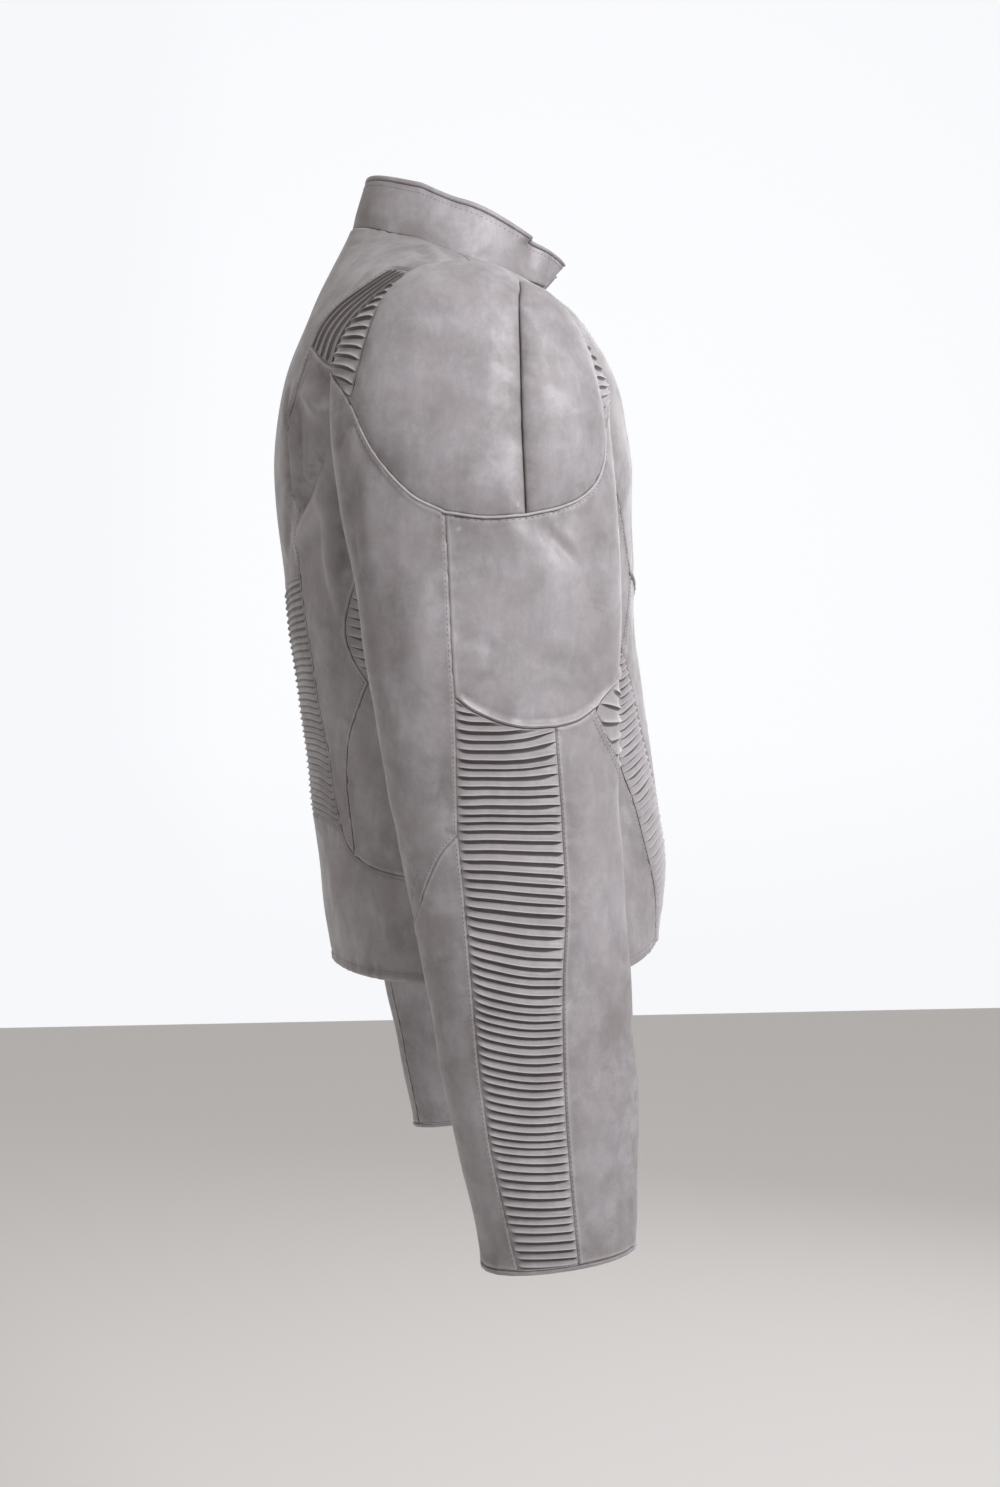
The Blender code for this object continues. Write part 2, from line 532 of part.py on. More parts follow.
def grid_wall(name, seams, outer_grid, inner_grid, finish, raised=0.0, thickness=WALL, sunk=0.0):
    """A closed wall of rows and columns between four seams; raised lifts its outside."""
    surface = seams[0].surface
    places, around, edge, normals = edge_of(seams)
    count = len(edge)
    vertices, faces = [edge - normals * sunk, edge - normals * (sunk + thickness)], side_faces(places)
    start = 2 * count
    for level, (rows, columns) in enumerate((outer_grid, inner_grid)):
        inside = patch(*seams, rows, columns)
        grid, up = surface(inside[..., 0], inside[..., 1]), surface(inside[..., 0], inside[..., 1], "normals")
        lift = raised - sunk if level == 0 else -sunk - thickness
        grid = grid + up * np.broadcast_to(lift, grid.shape[:2])[..., None]
        index = np.arange(grid.shape[0] * grid.shape[1]).reshape(grid.shape[:2]) + start
        start += index.size
        vertices.append(grid.reshape(-1, 3))
        loop = [(k + level * count, at) for k, at in enumerate(around)]
        faces += grid_faces(index) + zip_faces(loop, border(index, rows, columns))
    return make_object(name, np.concatenate(vertices), faces, finish)


def local_scale(surface, places):
    """Metres covered by one unit of each parameter, across the middle half of these places."""
    middle, reach = places.mean(0), np.ptp(places, axis=0) / 4
    scale = []
    for step in (np.array([reach[0], 0]), np.array([0, reach[1]])):
        across = surface(*(middle + step)) - surface(*(middle - step))
        scale.append(np.linalg.norm(across) / (2 * step.sum()))
    return np.array(scale)


def net_inside(flat, cell):
    """Points of an even net well inside a closed outline, and how far each is from its edge."""
    axes = [
        np.linspace(low, high, max(2, round((high - low) / cell)) + 1)[1:-1]
        for low, high in zip(flat.min(0), flat.max(0))
    ]
    net = np.stack(np.meshgrid(*axes), -1).reshape(-1, 2)
    start, end = flat, np.roll(flat, -1, axis=0)
    along, offset = end - start, net[:, None] - start
    share = np.clip((offset * along).sum(-1) / (along**2).sum(-1), 0, 1)
    distance = np.linalg.norm(offset - share[..., None] * along, axis=-1).min(1)
    level = net[:, None, 1]
    passes = (start[:, 1] > level) != (end[:, 1] > level)
    slope = along[:, 0] / np.where(along[:, 1] == 0, 1e-12, along[:, 1])
    left_of = net[:, None, 0] < start[:, 0] + (level - start[:, 1]) * slope
    keep = ((passes & left_of).sum(1) % 2 == 1) & (distance > NET_MARGIN * cell)
    return net[keep], distance[keep]


def plain_piece(name, left, right, top, bottom, cell=CELL, padding=0.0):
    """A wall of even facets between four seams, padded in its middle where padding is given."""
    surface = left.surface
    places, _, edge, normals = edge_of((left, right, top, bottom))
    scale = local_scale(surface, places)
    net, distance = net_inside(places * scale, cell)
    count = len(places)
    flat = np.concatenate([places * scale, net])
    loop = [(k, (k + 1) % count) for k in range(count)]
    found = delaunay_2d_cdt([Vector(p) for p in flat], loop, [], 1, 1e-9)
    triangles = [[found[3][vertex][0] for vertex in face] for face in found[2]]
    inner = net / scale
    points, up = surface(*inner.T), surface(*inner.T, "normals")
    lift = padding * (1 - (1 - np.clip(distance / PADDING_EDGE, 0, 1)) ** 2)
    total = count + len(net)
    low_index = [k + count if k < count else k + len(net) + count for k in range(total)]
    high_index = [k if k < count else k + count for k in range(total)]
    faces = side_faces(places)
    for index in (high_index, low_index):
        faces += [tuple(index[vertex] for vertex in triangle) for triangle in triangles]
    vertices = np.concatenate([edge, edge - normals * WALL, points + up * lift[:, None], points - up * WALL])
    return make_object(name, vertices, faces, "leather")


def grid_for(seams, cell):
    """Rows and columns of about this size inside four seams."""
    left, right, top, bottom = seams
    rows = inner_steps(max(left.length, right.length), cell)
    columns = inner_steps(max(top.length, bottom.length), cell)
    return rows, columns


def tucked_piece(name, left, right, top, bottom, tucks, across=3):
    """A piece whose outside is tucked from its left seam to its right one, over a plain inside."""
    ridges, valleys = (np.arange(tucks) + TUCK_RIDGE) / tucks, (np.arange(tucks) + 1) / tucks
    rows = np.stack([ridges, valleys], -1).reshape(-1)[:-1]
    heights = np.tile([TUCK_HEIGHT, 0.0], tucks)[:-1]
    columns = np.linspace(TUCK_END, 1 - TUCK_END, across)
    seams = (left, right, top, bottom)
    raised = np.outer(heights, np.ones(across))
    return grid_wall(name, seams, (rows, columns), grid_for(seams, CELL), "ribbed leather", raised)


# ---------------------------------------------------------------------------- torso pieces
def armhole_angles(start, end):
    """The start, each whole step between, and the end."""
    low, high = min(start, end), max(start, end)
    inner = [a for a in range(-360, 361, ARMHOLE_STEP) if low + ARMHOLE_MARGIN < a < high - ARMHOLE_MARGIN]
    angles = np.array([low, *inner, high], float)
    return angles if start < end else angles[::-1]


def armhole_seam(start, end, side=1):
    """Part of the armhole as torso places, from one sleeve angle to another."""
    lines = []
    for angle in (np.linspace(start, end, LINE_POINTS), armhole_angles(start, end)):
        u, v = on_armhole(angle)
        lines.append(np.stack([side * u, v], -1))
    return Seam(torso, *lines, pulls=ARMHOLE_PULL)


def edge_seam(start, end, side, beyond=0.0):
    v = np.linspace(start, end, LINE_POINTS)
    return Seam(torso, np.stack([side * front_edge(v, beyond), v], -1))


def level_seam(v, start, end, cell=CELL):
    return straight(torso, (start, v), (end, v), cell)


def back_pieces():
    seam = {name: drawn(torso, knots) for name, knots in TORSO_SEAMS.items()}
    half = chain(
        seam["shoulder line"], armhole_seam(0, INSERT_ANGLES[0]), seam["insert top"].back(),
        seam["insert inner"], seam["princess high"],
    )
    neck = level_seam(0, -0.5, 0.5, NECK_CELL)
    plain_piece("back_centre", half.moved((-1, 1)), half, neck, seam["rib back top"])
    tucked_piece(
        "back_rib", seam["princess low"].moved((-1, 1)), seam["princess low"], seam["rib back top"],
        seam["band middle"], TUCKS["back"], across=5,
    )
    top = chain(
        seam["band side"].moved((-1, 1)).back(), seam["band tail"].moved((-1, 1)).back(), seam["band middle"],
        seam["band tail"], seam["band side"],
    )
    hem = level_seam(HEM_LEVEL, -SIDE_SEAM_U, SIDE_SEAM_U)
    plain_piece("hem_band", seam["side low"].moved((-1, 1)), seam["side low"], top, hem)


def half_pieces(name, side):
    seam = {key: drawn(torso, knots).moved((side, 1)) for key, knots in TORSO_SEAMS.items()}
    tucked_piece(
        f"shoulder_insert_{name}", seam["insert top"], seam["insert low"], seam["insert inner"],
        armhole_seam(*INSERT_ANGLES, side), TUCKS["insert"],
    )
    plain_piece(
        f"side_back_{name}", chain(seam["princess high"], seam["princess low"]),
        chain(
            armhole_seam(INSERT_ANGLES[1], SIDE_BACK_ANGLE, side), seam["side back high"], seam["leaf back"],
            seam["side back low"],
        ),
        seam["insert low"], seam["band tail"],
    )
    tucked_piece(
        f"waist_rib_{name}", seam["leaf back"], seam["leaf front"],
        straight(torso, seam["leaf back"].line[0], seam["leaf front"].line[0]),
        straight(torso, seam["leaf back"].line[-1], seam["leaf front"].line[-1]), TUCKS["leaf"],
    )
    plain_piece(
        f"side_rear_{name}", chain(seam["side back high"], seam["leaf front"], seam["side back low"]),
        seam["side high"], armhole_seam(SIDE_BACK_ANGLE, -180, side), seam["band side"],
    )
    plain_piece(
        f"side_front_{name}", chain(seam["side high"], seam["side low"]),
        chain(seam["chest line"], seam["rib front inner high"], seam["rib front outer"]),
        armhole_seam(180, CHEST_ANGLE, side),
        level_seam(HEM_LEVEL, side * SIDE_SEAM_U, side * RIB_OUTER_U),
    )
    low_edge = edge_seam(CHEST_END_LEVEL, HEM_LEVEL, side)
    chest_low = straight(torso, seam["chest line"].line[-1], low_edge.line[0])
    neck = level_seam(0, side * 0.5, side * front_edge(0), NECK_CELL)
    plain_piece(
        f"chest_{name}", chain(seam["shoulder line"], armhole_seam(0, CHEST_ANGLE, side), seam["chest line"]),
        edge_seam(0, CHEST_END_LEVEL, side), neck, chest_low,
    )
    plain_piece(
        f"front_{name}", chain(seam["rib front inner high"], seam["rib front inner"]), low_edge, chest_low,
        level_seam(HEM_LEVEL, side * RIB_INNER_U, side * front_edge(HEM_LEVEL)),
    )
    tucked_piece(
        f"front_rib_{name}", seam["rib front outer"], seam["rib front inner"],
        straight(torso, seam["rib front outer"].line[0], seam["rib front inner"].line[0]),
        level_seam(HEM_LEVEL, side * RIB_OUTER_U, side * RIB_INNER_U), TUCKS["front"],
    )


# ---------------------------------------------------------------------------- sleeve pieces
def sleeve_pieces(name, side):
    def surface(angle, level, what="grid"):
        return sleeve(angle, level, what, side)

    def armhole(start, end):
        angle = np.linspace(start, end, LINE_POINTS)
        at = armhole_angles(start, end)
        lines = (np.stack([angle, 0 * angle], -1), np.stack([at, 0 * at], -1))
        return Seam(surface, *lines, pulls=ARMHOLE_PULL)

    def cuff(start, end):
        return straight(surface, (start, CUFF_LEVEL), (end, CUFF_LEVEL))

    seam = {key: drawn(surface, knots) for key, knots in SLEEVE_SEAMS.items()}
    plain_piece(
        f"cap_back_{name}", chain(seam["cap back tip"], seam["cap back"]), seam["cap centre"],
        armhole(CAP_BACK_ANGLE, CAP_CENTRE_ANGLE),
        chain(seam["cap low back"], seam["cap low middle"]), padding=CAP_PADDING,
    )
    plain_piece(
        f"cap_front_{name}", seam["cap centre"], chain(seam["cap front tip"], seam["cap front"]),
        armhole(CAP_CENTRE_ANGLE, CAP_FRONT_ANGLE), seam["cap low front"], padding=CAP_PADDING,
    )
    for place, start, low_seam in (
        ("back", CAP_BACK_ANGLE, seam["insert low back"].back()),
        ("front", CAP_FRONT_ANGLE, seam["insert low front"]),
    ):
        tucked_piece(
            f"cap_rib_{place}_{name}", seam[f"cap {place}"],
            armhole(start, math.copysign(CAP_RIB_ANGLE, start)), seam[f"cap {place} tip"].back(), low_seam,
            TUCKS["head"],
        )
    plain_piece(
        f"outer_{name}", seam["outer back"], seam["under front high"],
        chain(
            seam["cap low middle"], seam["cap low front"], seam["insert low front"],
            armhole(CAP_RIB_ANGLE, UNDER_ANGLE),
        ),
        chain(seam["round low back"], seam["round low middle"], seam["round low front"]),
    )
    plain_piece(
        f"back_upper_{name}", seam["under back high"], chain(seam["outer back"], seam["strip back high"]),
        chain(armhole(-UNDER_ANGLE, -CAP_RIB_ANGLE), seam["insert low back"], seam["cap low back"]),
        seam["elbow line"],
    )
    plain_piece(
        f"back_lower_{name}", seam["under back low"], seam["strip back low"], seam["elbow line"],
        cuff(-UNDER_ANGLE, STRIP_ANGLES[0]),
    )
    tucked_piece(
        f"sleeve_rib_{name}", chain(seam["strip back high"], seam["strip back low"]), seam["strip front"],
        seam["round low back"], cuff(*STRIP_ANGLES), TUCKS["strip"],
    )
    gusset_tip = straight(surface, seam["round low front"].line[0], seam["gusset low"].line[0])
    plain_piece(
        f"gusset_{name}", gusset_tip, seam["under front middle"], seam["round low front"], seam["gusset low"]
    )
    plain_piece(
        f"front_lower_{name}", seam["strip front"], seam["under front low"],
        chain(seam["round low middle"], gusset_tip, seam["gusset low"]), cuff(STRIP_ANGLES[1], UNDER_ANGLE),
    )
    plain_piece(
        f"under_{name}", chain(seam["under front high"], seam["under front middle"], seam["under front low"]),
        chain(seam["under back high"], seam["under back low"]).moved(shift=(360, 0)),
        armhole(UNDER_ANGLE, 360 - UNDER_ANGLE), cuff(UNDER_ANGLE, 360 - UNDER_ANGLE),
    )
    low_seam = chain(seam["cap low back"], seam["cap low middle"], seam["cap low front"])
    piping(f"piping_{name}", surface, low_seam)
    cuff_edge(f"cuff_edge_{name}", surface)


def piping(name, surface, line):
    """A thin cord sewn along the lower edge of the padded cap, lying on the seam."""
    places = line.divided(np.linspace(*PIPING_ENDS, PIPING_POINTS))
    middle = surface(*places.T) + surface(*places.T, "normals") * (PIPING_RADIUS + REST_GAP)
    curve = bpy.data.curves.new(name, "CURVE")
    curve.dimensions = "3D"
    curve.bevel_depth = PIPING_RADIUS
    curve.bevel_resolution = 1
    curve.use_fill_caps = True
    spline = curve.splines.new("POLY")
    spline.points.add(len(middle) - 1)
    for point, place in zip(spline.points, middle):
        point.co = (*place, 1)
    curve.materials.append(material("leather"))
    bpy.context.scene.collection.objects.link(bpy.data.objects.new(name, curve))


def ring_wall(name, outside, inside, finish):
    """A closed band from two grids whose columns run once round."""
    rows, columns = outside.shape[:2]
    vertices = np.concatenate([outside.reshape(-1, 3), inside.reshape(-1, 3)])
    first = np.arange(rows * columns).reshape(rows, columns)
    second = first + rows * columns
    faces = []
    for a, b in ((first[0], first[1]), (first[1], second[1]), (second[1], second[0]), (second[0], first[0])):
        c, d = np.roll(a, -1), np.roll(b, -1)
        faces += np.stack([a, b, d, c], -1).tolist()
    return make_object(name, vertices, faces, finish)


def cuff_edge(name, surface):
    """The bound edge, a little proud of the sleeve's end."""
    angle = np.linspace(0, 360, CUFF_POINTS, endpoint=False)[None, :]
    level = np.array([CUFF_LEVEL + CUFF_GAP, len(SLEEVE_RINGS)])[:, None]
    normals = surface(angle, level, "normals")
    outside = surface(angle, level) + normals * EDGE_PROUD
    ring_wall(name, outside, outside - normals * CUFF_WALL, "leather")


# ---------------------------------------------------------------------------- collar and zip
def collar_pieces():
    for name, low, high, thickness, proud, pull in (
        ("collar", 0.0, 1 - COLLAR_EDGE, COLLAR_WALL, 0.0, ARMHOLE_PULL),
        ("collar_edge", 1 - COLLAR_EDGE, 1.0, COLLAR_WALL + 2 * EDGE_PROUD, EDGE_PROUD, SEAM_PULL),
    ):
        seams = (
            straight(collar, (0, low), (0, high)), straight(collar, (1, low), (1, high)),
            straight(collar, (0, low), (1, low), NECK_CELL, pull),
            straight(collar, (0, high), (1, high), NECK_CELL),
        )
        grid = (np.array([0.5]), inner_steps(seams[2].length, NECK_CELL))
        grid_wall(name, seams, grid, grid, "leather", thickness=thickness, sunk=-proud)


def edge_strip(name, side, start, end, sunk, thickness, finish):
    """A strip along the front edge, between two distances beyond it, lying under the outer face."""
    left, right = (edge_seam(ZIP_START, ZIP_END, side, beyond) for beyond in (start, end))
    top, bottom = (straight(torso, left.line[end], right.line[end]) for end in (0, -1))
    seams = (left, right, top, bottom)
    grid = (inner_steps(left.length, CELL), np.array([0.5]))
    grid_wall(name, seams, grid, grid, finish, thickness=thickness, sunk=sunk)


def zip_halves():
    for name, side in SIDES:
        edge_strip(
            f"zip_tape_{name}", side, -ZIP_TAPE["under"], ZIP_TAPE["over"], ZIP_TAPE["depth"],
            ZIP_TAPE["thickness"], "zip tape",
        )
        edge_strip(
            f"zip_teeth_{name}", side, ZIP_TAPE["over"] - ZIP_TEETH["width"], ZIP_TAPE["over"],
            ZIP_TAPE["depth"] - REST_GAP - ZIP_TEETH["thickness"], ZIP_TEETH["thickness"], "metal",
        )


def box_in_frame(name, frame, low, high, finish):
    """A box between two corners given along a frame's own across, down and outward directions."""
    origin, axes = frame
    across, down, out = zip(low, high)
    corners = np.array([[x, y, z] for z in out for y in down for x in across])
    faces = [(0, 2, 3, 1), (4, 5, 7, 6), (0, 1, 5, 4), (2, 6, 7, 3), (0, 4, 6, 2), (1, 3, 7, 5)]
    return make_object(name, origin + corners @ axes, faces, finish)


def joined(base, others):
    """One body from a base and the pieces that overlap it."""
    for other in others:
        union = base.modifiers.new("join", "BOOLEAN")
        union.operation = "UNION"
        union.object = other
        other.hide_render = True
        other.display_type = "WIRE"
    return base


def zip_frame():
    """Where the slider sits on the left front's teeth: across to the centre, then down, then out."""
    level, step = SLIDER["level"], SLIDER["step"]
    middle = ZIP_TAPE["over"] - ZIP_TEETH["width"] / 2
    at = front_edge(np.array(level), middle)
    above = torso(front_edge(np.array(level - step), middle), level - step)
    below = torso(front_edge(np.array(level + step), middle), level + step)
    down = (below - above) / np.linalg.norm(below - above)
    out = torso(at, level, "normals")
    out = out - down * (out @ down)
    out /= np.linalg.norm(out)
    return torso(at, level), np.array([np.cross(down, out), down, out])


def slider_and_pull():
    """Two plates round the left row of teeth, joined by a post past it, with two lugs for the pull."""
    frame = zip_frame()
    wide, long, plate, clear = SLIDER["width"] / 2, SLIDER["length"] / 2, SLIDER["plate"], SLIDER["clear"]
    face = clear - (ZIP_TAPE["depth"] - REST_GAP - ZIP_TEETH["thickness"])
    top = face + plate
    rear = -ZIP_TAPE["depth"] - ZIP_TAPE["thickness"] - clear
    post = ZIP_TEETH["width"] / 2 + clear
    root = -long + SLIDER["margin"]
    slider = box_in_frame("zip_slider", frame, (-wide, -long, face), (wide, long, top), "metal")
    extras = [
        box_in_frame("slider_back", frame, (-wide, -long, rear - plate), (wide, long, rear), "metal"),
        box_in_frame(
            "slider_post", frame, (post, root, rear - SLIDER["margin"]),
            (post + SLIDER["post"], root + SLIDER["post"] * 2, face + SLIDER["margin"]), "metal",
        ),
    ]
    for k, sign in enumerate((-1, 1)):
        middle = sign * (LUG["apart"] + LUG["width"]) / 2
        low = (middle - LUG["width"] / 2, root, top - SLIDER["margin"])
        high = (middle + LUG["width"] / 2, root + LUG["length"], top + LUG["height"])
        extras.append(box_in_frame(f"slider_lug_{k}", frame, low, high, "metal"))
    joined(slider, extras)
    pull_tab(frame, np.array([0.0, root + LUG["length"] / 2, top + LUG["height"] / 2]))


def pull_tab(frame, barrel):
    """A flat tab with a round barrel at its head, turning between the slider's lugs."""
    origin, axes = frame
    sides, half = BARREL_SIDES, PULL["width"] / 2
    turn = np.linspace(0, 2 * math.pi, sides, endpoint=False)
    round_points = np.stack([np.cos(turn), np.sin(turn)], -1) * PULL["radius"]
    ends = [[(x, barrel[1] + y, barrel[2] + z) for y, z in round_points] for x in (-half, half)]
    faces = [tuple(range(sides))[::-1], tuple(range(sides, 2 * sides))]
    faces += [(k, (k + 1) % sides, sides + (k + 1) % sides, sides + k) for k in range(sides)]
    pull = make_object("pull_tab", origin + np.array(ends[0] + ends[1]) @ axes, faces, "metal")
    thick = PULL["thickness"] / 2
    low = (-half, barrel[1], barrel[2] - thick)
    high = (half, barrel[1] + PULL["length"], barrel[2] + thick)
    blade = box_in_frame("pull_blade", frame, low, high, "metal")
    joined(pull, [blade])


def clear_scene():
    for old in list(bpy.data.objects):
        bpy.data.objects.remove(old, do_unlink=True)


def main():
    clear_scene()
    back_pieces()
    for name, side in SIDES:
        half_pieces(name, side)
        sleeve_pieces(name, side)
    collar_pieces()
    zip_halves()
    slider_and_pull()


main()
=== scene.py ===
"""Looks of a short fitted leather jacket, worn open: cloth, tucks, welts, stitching, zip and light.

Metres, +Z up, in the frame of the solids. The front faces -Y and the wearer's left is +X.

Three smooth surfaces hold the form. The torso is read by u (0 at the centre back, 1 at the centre
front, negative on the wearer's right) and by v, the number of a ring. A sleeve is read by an angle
in degrees (0 outside, 90 in front, -90 behind) and by the number of a ring, 0 being the armhole.
The collar is read by its share from the right end to the left one and by its share of height.
Each panel is a thin wall between seams drawn on a surface, with its folds as a height on it.
"""

import math

import bmesh
import bpy
import numpy as np
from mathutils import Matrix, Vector
from mathutils.geometry import delaunay_2d_cdt


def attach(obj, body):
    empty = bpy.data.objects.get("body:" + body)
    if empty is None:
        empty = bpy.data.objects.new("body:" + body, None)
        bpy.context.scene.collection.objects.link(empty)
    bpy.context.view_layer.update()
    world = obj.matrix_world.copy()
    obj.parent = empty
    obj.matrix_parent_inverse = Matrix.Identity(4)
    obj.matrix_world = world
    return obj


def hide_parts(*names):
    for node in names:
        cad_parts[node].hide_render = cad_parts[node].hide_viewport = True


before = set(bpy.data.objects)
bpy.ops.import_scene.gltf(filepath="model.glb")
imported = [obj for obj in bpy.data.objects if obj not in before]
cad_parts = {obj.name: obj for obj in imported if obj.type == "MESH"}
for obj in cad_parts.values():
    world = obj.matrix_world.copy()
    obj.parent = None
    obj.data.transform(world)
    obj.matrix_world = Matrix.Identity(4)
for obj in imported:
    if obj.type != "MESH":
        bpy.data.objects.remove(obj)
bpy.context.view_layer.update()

MM = 0.001
BODY = "jacket"
SIDES = (("left", 1), ("right", -1))
WALL = 1.8 * MM
SEAM_PULL = 0.03 * MM  # a plain piece stops this far from its seam
ARMHOLE_PULL = 0.1 * MM  # and this far from the armhole
ARMHOLE_STEP = 2.0  # degrees between the armhole's stations, about
TUCKED_PULL = 0.15 * MM  # a tucked piece stops this far from its seams
NET = 2.8 * MM  # spacing of the points inside a plain panel
INSIDE_NET = 5.5 * MM  # and on its inner face
STATION = 2.6 * MM  # spacing of the points along a seam
EDGE_RINGS = (0.7 * MM, 1.6 * MM, 2.8 * MM, 4.4 * MM, 6.4 * MM)  # rings of points inside each edge
EDGES = {  # a panel's height near its edge: distance and height in mm
    "rolled": ((0, -0.6), (0.7, -0.2), (1.6, 0.1), (2.8, 0.2), (5.0, 0.1), (9.0, 0.0)),
    "pressed": ((0, -0.1), (0.7, 0.3), (1.6, 0.4), (2.8, 0.2), (5.0, 0.0), (9.0, 0.0)),
    "deep": ((0, -0.8), (0.7, -0.3), (1.6, 0.0), (2.8, 0.1), (5.0, 0.05), (9.0, 0.0)),
    "proud": ((0, 0.3), (0.7, 0.8), (1.6, 0.9), (2.8, 0.5), (5.0, 0.1), (9.0, 0.0)),
    "cord": ((0, 0.4), (0.7, 0.9), (1.6, 0.7), (2.8, 0.0), (5.0, 0.0), (9.0, 0.0)),
    "bead": ((0, -0.7), (0.7, 0.6), (1.6, 1.35), (2.8, 0.7), (4.4, -0.35), (8.0, 0.0)),
    "turned": ((0, -0.6), (0.7, 0.1), (1.6, 0.4), (4.4, 0.45), (6.4, -0.35), (9.0, 0.0)),
    "flat": ((0, -0.2), (1.0, 0.0), (9.0, 0.0)),
}
# How much painted shade each kind of edge has in its seam, and how much painted highlight the ridge beside it
# has.
EDGE_SHADES = {
    "rolled": (0.75, 0.25), "pressed": (0.25, 0.55), "deep": (1.0, 0.1), "bead": (0.8, 1.0),
    "turned": (0.3, 0.3), "flat": (0.2, 0.0), "proud": (0.1, 0.9), "cord": (0.3, 1.0),
}
PUCKER = {"height": 0.3 * MM, "reach": 8.0 * MM, "waves": (9.1 * MM, 14.3 * MM), "swell": 53 * MM}
ARMHOLE_FADE = (2 * MM, 20 * MM)  # folds grow from nothing over this distance from the armhole

# ---------------------------------------------------------------------------- form of the torso
RING_COLUMNS = (
    "back_y", "back_z", "side_x", "side_y", "side_z", "front_y", "front_z", "power", "half_gap", "drop",
)
TORSO_RINGS = {  # metres; power 2 is an ellipse, half_gap half the open front, drop a shoulder's slope
    "neck seam": (0.0669, 0.026, 0.062, -0.006, 0.005, -0.0756, -0.0133, 2.1, 0.0180, 0.0085),
    "collar bone": (0.0830, -0.006, 0.110, -0.012, -0.010, -0.0880, -0.0350, 2.1, 0.0175, 0.008),
    "shoulder": (0.0995, -0.042, 0.154, -0.016, -0.028, -0.1080, -0.0640, 2.2, 0.0170, 0.0105),
    "shoulder blade": (0.1160, -0.085, 0.180, -0.010, -0.068, -0.1200, -0.0950, 2.4, 0.0165, 0.010),
    "upper chest": (0.1230, -0.140, 0.174, -0.002, -0.135, -0.1290, -0.1400, 2.6, 0.0170, 0.006),
    "underarm": (0.1185, -0.205, 0.154, 0.000, -0.205, -0.1350, -0.2050, 2.5, 0.0190, 0.002),
    "lower chest": (0.1110, -0.270, 0.146, 0.000, -0.270, -0.1390, -0.2700, 2.4, 0.0220, 0.0),
    "waist": (0.1000, -0.345, 0.139, -0.008, -0.345, -0.1490, -0.3450, 2.3, 0.0260, 0.0),
    "hip": (0.0910, -0.430, 0.150, -0.025, -0.430, -0.1590, -0.4180, 2.3, 0.0300, 0.0),
    "hem": (0.0790, -0.506, 0.160, -0.033, -0.506, -0.1530, -0.4870, 2.3, 0.0340, 0.0),
}
COLLAR_TOP = (0.0552, 0.0645, 0.0520, -0.006, 0.0486, -0.0880, 0.0040, 2.1, 0.0, 0.0085)
DROP_FORWARD = 2.4  # the drop grows by this share from the side to the front, and fades behind
COLLAR_ANGLE = 163  # degrees from the centre back to each front end
COLLAR_WALL = 2.6 * MM
COLLAR_EDGE = 0.10  # share of the collar's height taken by the turned top edge
LEFT_FLARE = 11 * MM  # the left front hangs this much further forward at the hem
LEFT_FLARE_U, LEFT_FLARE_LEVELS = (0.72, 0.98), (5.5, 9)  # it sets in between these u and these rings

# ---------------------------------------------------------------------------- form of a sleeve
# The armhole itself is ring 0. Each row is out_x, out_z, in_x, in_z, front_y, back_y, front_lift, front_drop.
SLEEVE_RINGS = {
    "cap start": (0.205, -0.050, 0.163, -0.203, -0.0855, 0.0900, -0.003, 0.026),
    "cap": (0.234, -0.081, 0.162, -0.211, -0.0845, 0.0930, -0.002, 0.030),
    "cap side": (0.246, -0.150, 0.161, -0.226, -0.0860, 0.0880, 0.001, 0.012),
    "upper arm": (0.247, -0.225, 0.160, -0.247, -0.0895, 0.0785, 0.000, 0.004),
    "above elbow": (0.249, -0.303, 0.165, -0.308, -0.0890, 0.0690, 0.000, 0.0),
    "elbow": (0.251, -0.385, 0.170, -0.385, -0.0893, 0.0555, 0.000, 0.0),
    "below elbow": (0.253, -0.460, 0.176, -0.460, -0.0922, 0.0408, 0.000, 0.0),
    "forearm": (0.255, -0.550, 0.182, -0.550, -0.0992, 0.0252, 0.000, 0.0),
    "above cuff": (0.256, -0.635, 0.188, -0.633, -0.0985, 0.0070, 0.002, 0.0),
    "cuff": (0.256, -0.667, 0.189, -0.664, -0.0960, -0.0005, 0.006, 0.0),
}
SLEEVE_POWER = 2.2
ARMHOLE = {"middle_u": 0.485, "middle_v": 3.62, "up": 1.36, "down": 1.42, "front": 0.135, "back": 0.150}
ARMHOLE_POWER = 0.9
CUFF_LEVEL = 9.90  # the walls stop here, and the bound edge follows
HEM_LEVEL = 9.0
SIDE_SEAM_U, RIB_OUTER_U, RIB_INNER_U = 0.49, 0.842, 0.889  # where seams of each half meet the hem
# Where seams start on the armhole, in degrees round the sleeve.
INSERT_ANGLES = (-24.5, -85)  # the shoulder's tucked piece
SIDE_BACK_ANGLE, CHEST_ANGLE = -124.5, 120
CAP_BACK_ANGLE, CAP_CENTRE_ANGLE, CAP_FRONT_ANGLE = -28, 18, 35
CAP_RIB_ANGLE = 88
UNDER_ANGLE = 112  # the under-sleeve's seams
STRIP_ANGLES = (-36, 6.5)  # the ribbed strip at the cuff


def on_armhole(angle):
    """Where the armhole lies on the torso, as u and v: a squared circle of four quarter widths."""
    a = np.radians(angle)
    up = np.where(np.cos(a) > 0, ARMHOLE["up"], ARMHOLE["down"]) * np.cos(a)
    wide = np.where(np.sin(a) > 0, ARMHOLE["front"], ARMHOLE["back"])
    return (
        ARMHOLE["middle_u"] + wide * np.sign(np.sin(a)) * np.abs(np.sin(a)) ** ARMHOLE_POWER,
        ARMHOLE["middle_v"] - up,
    )


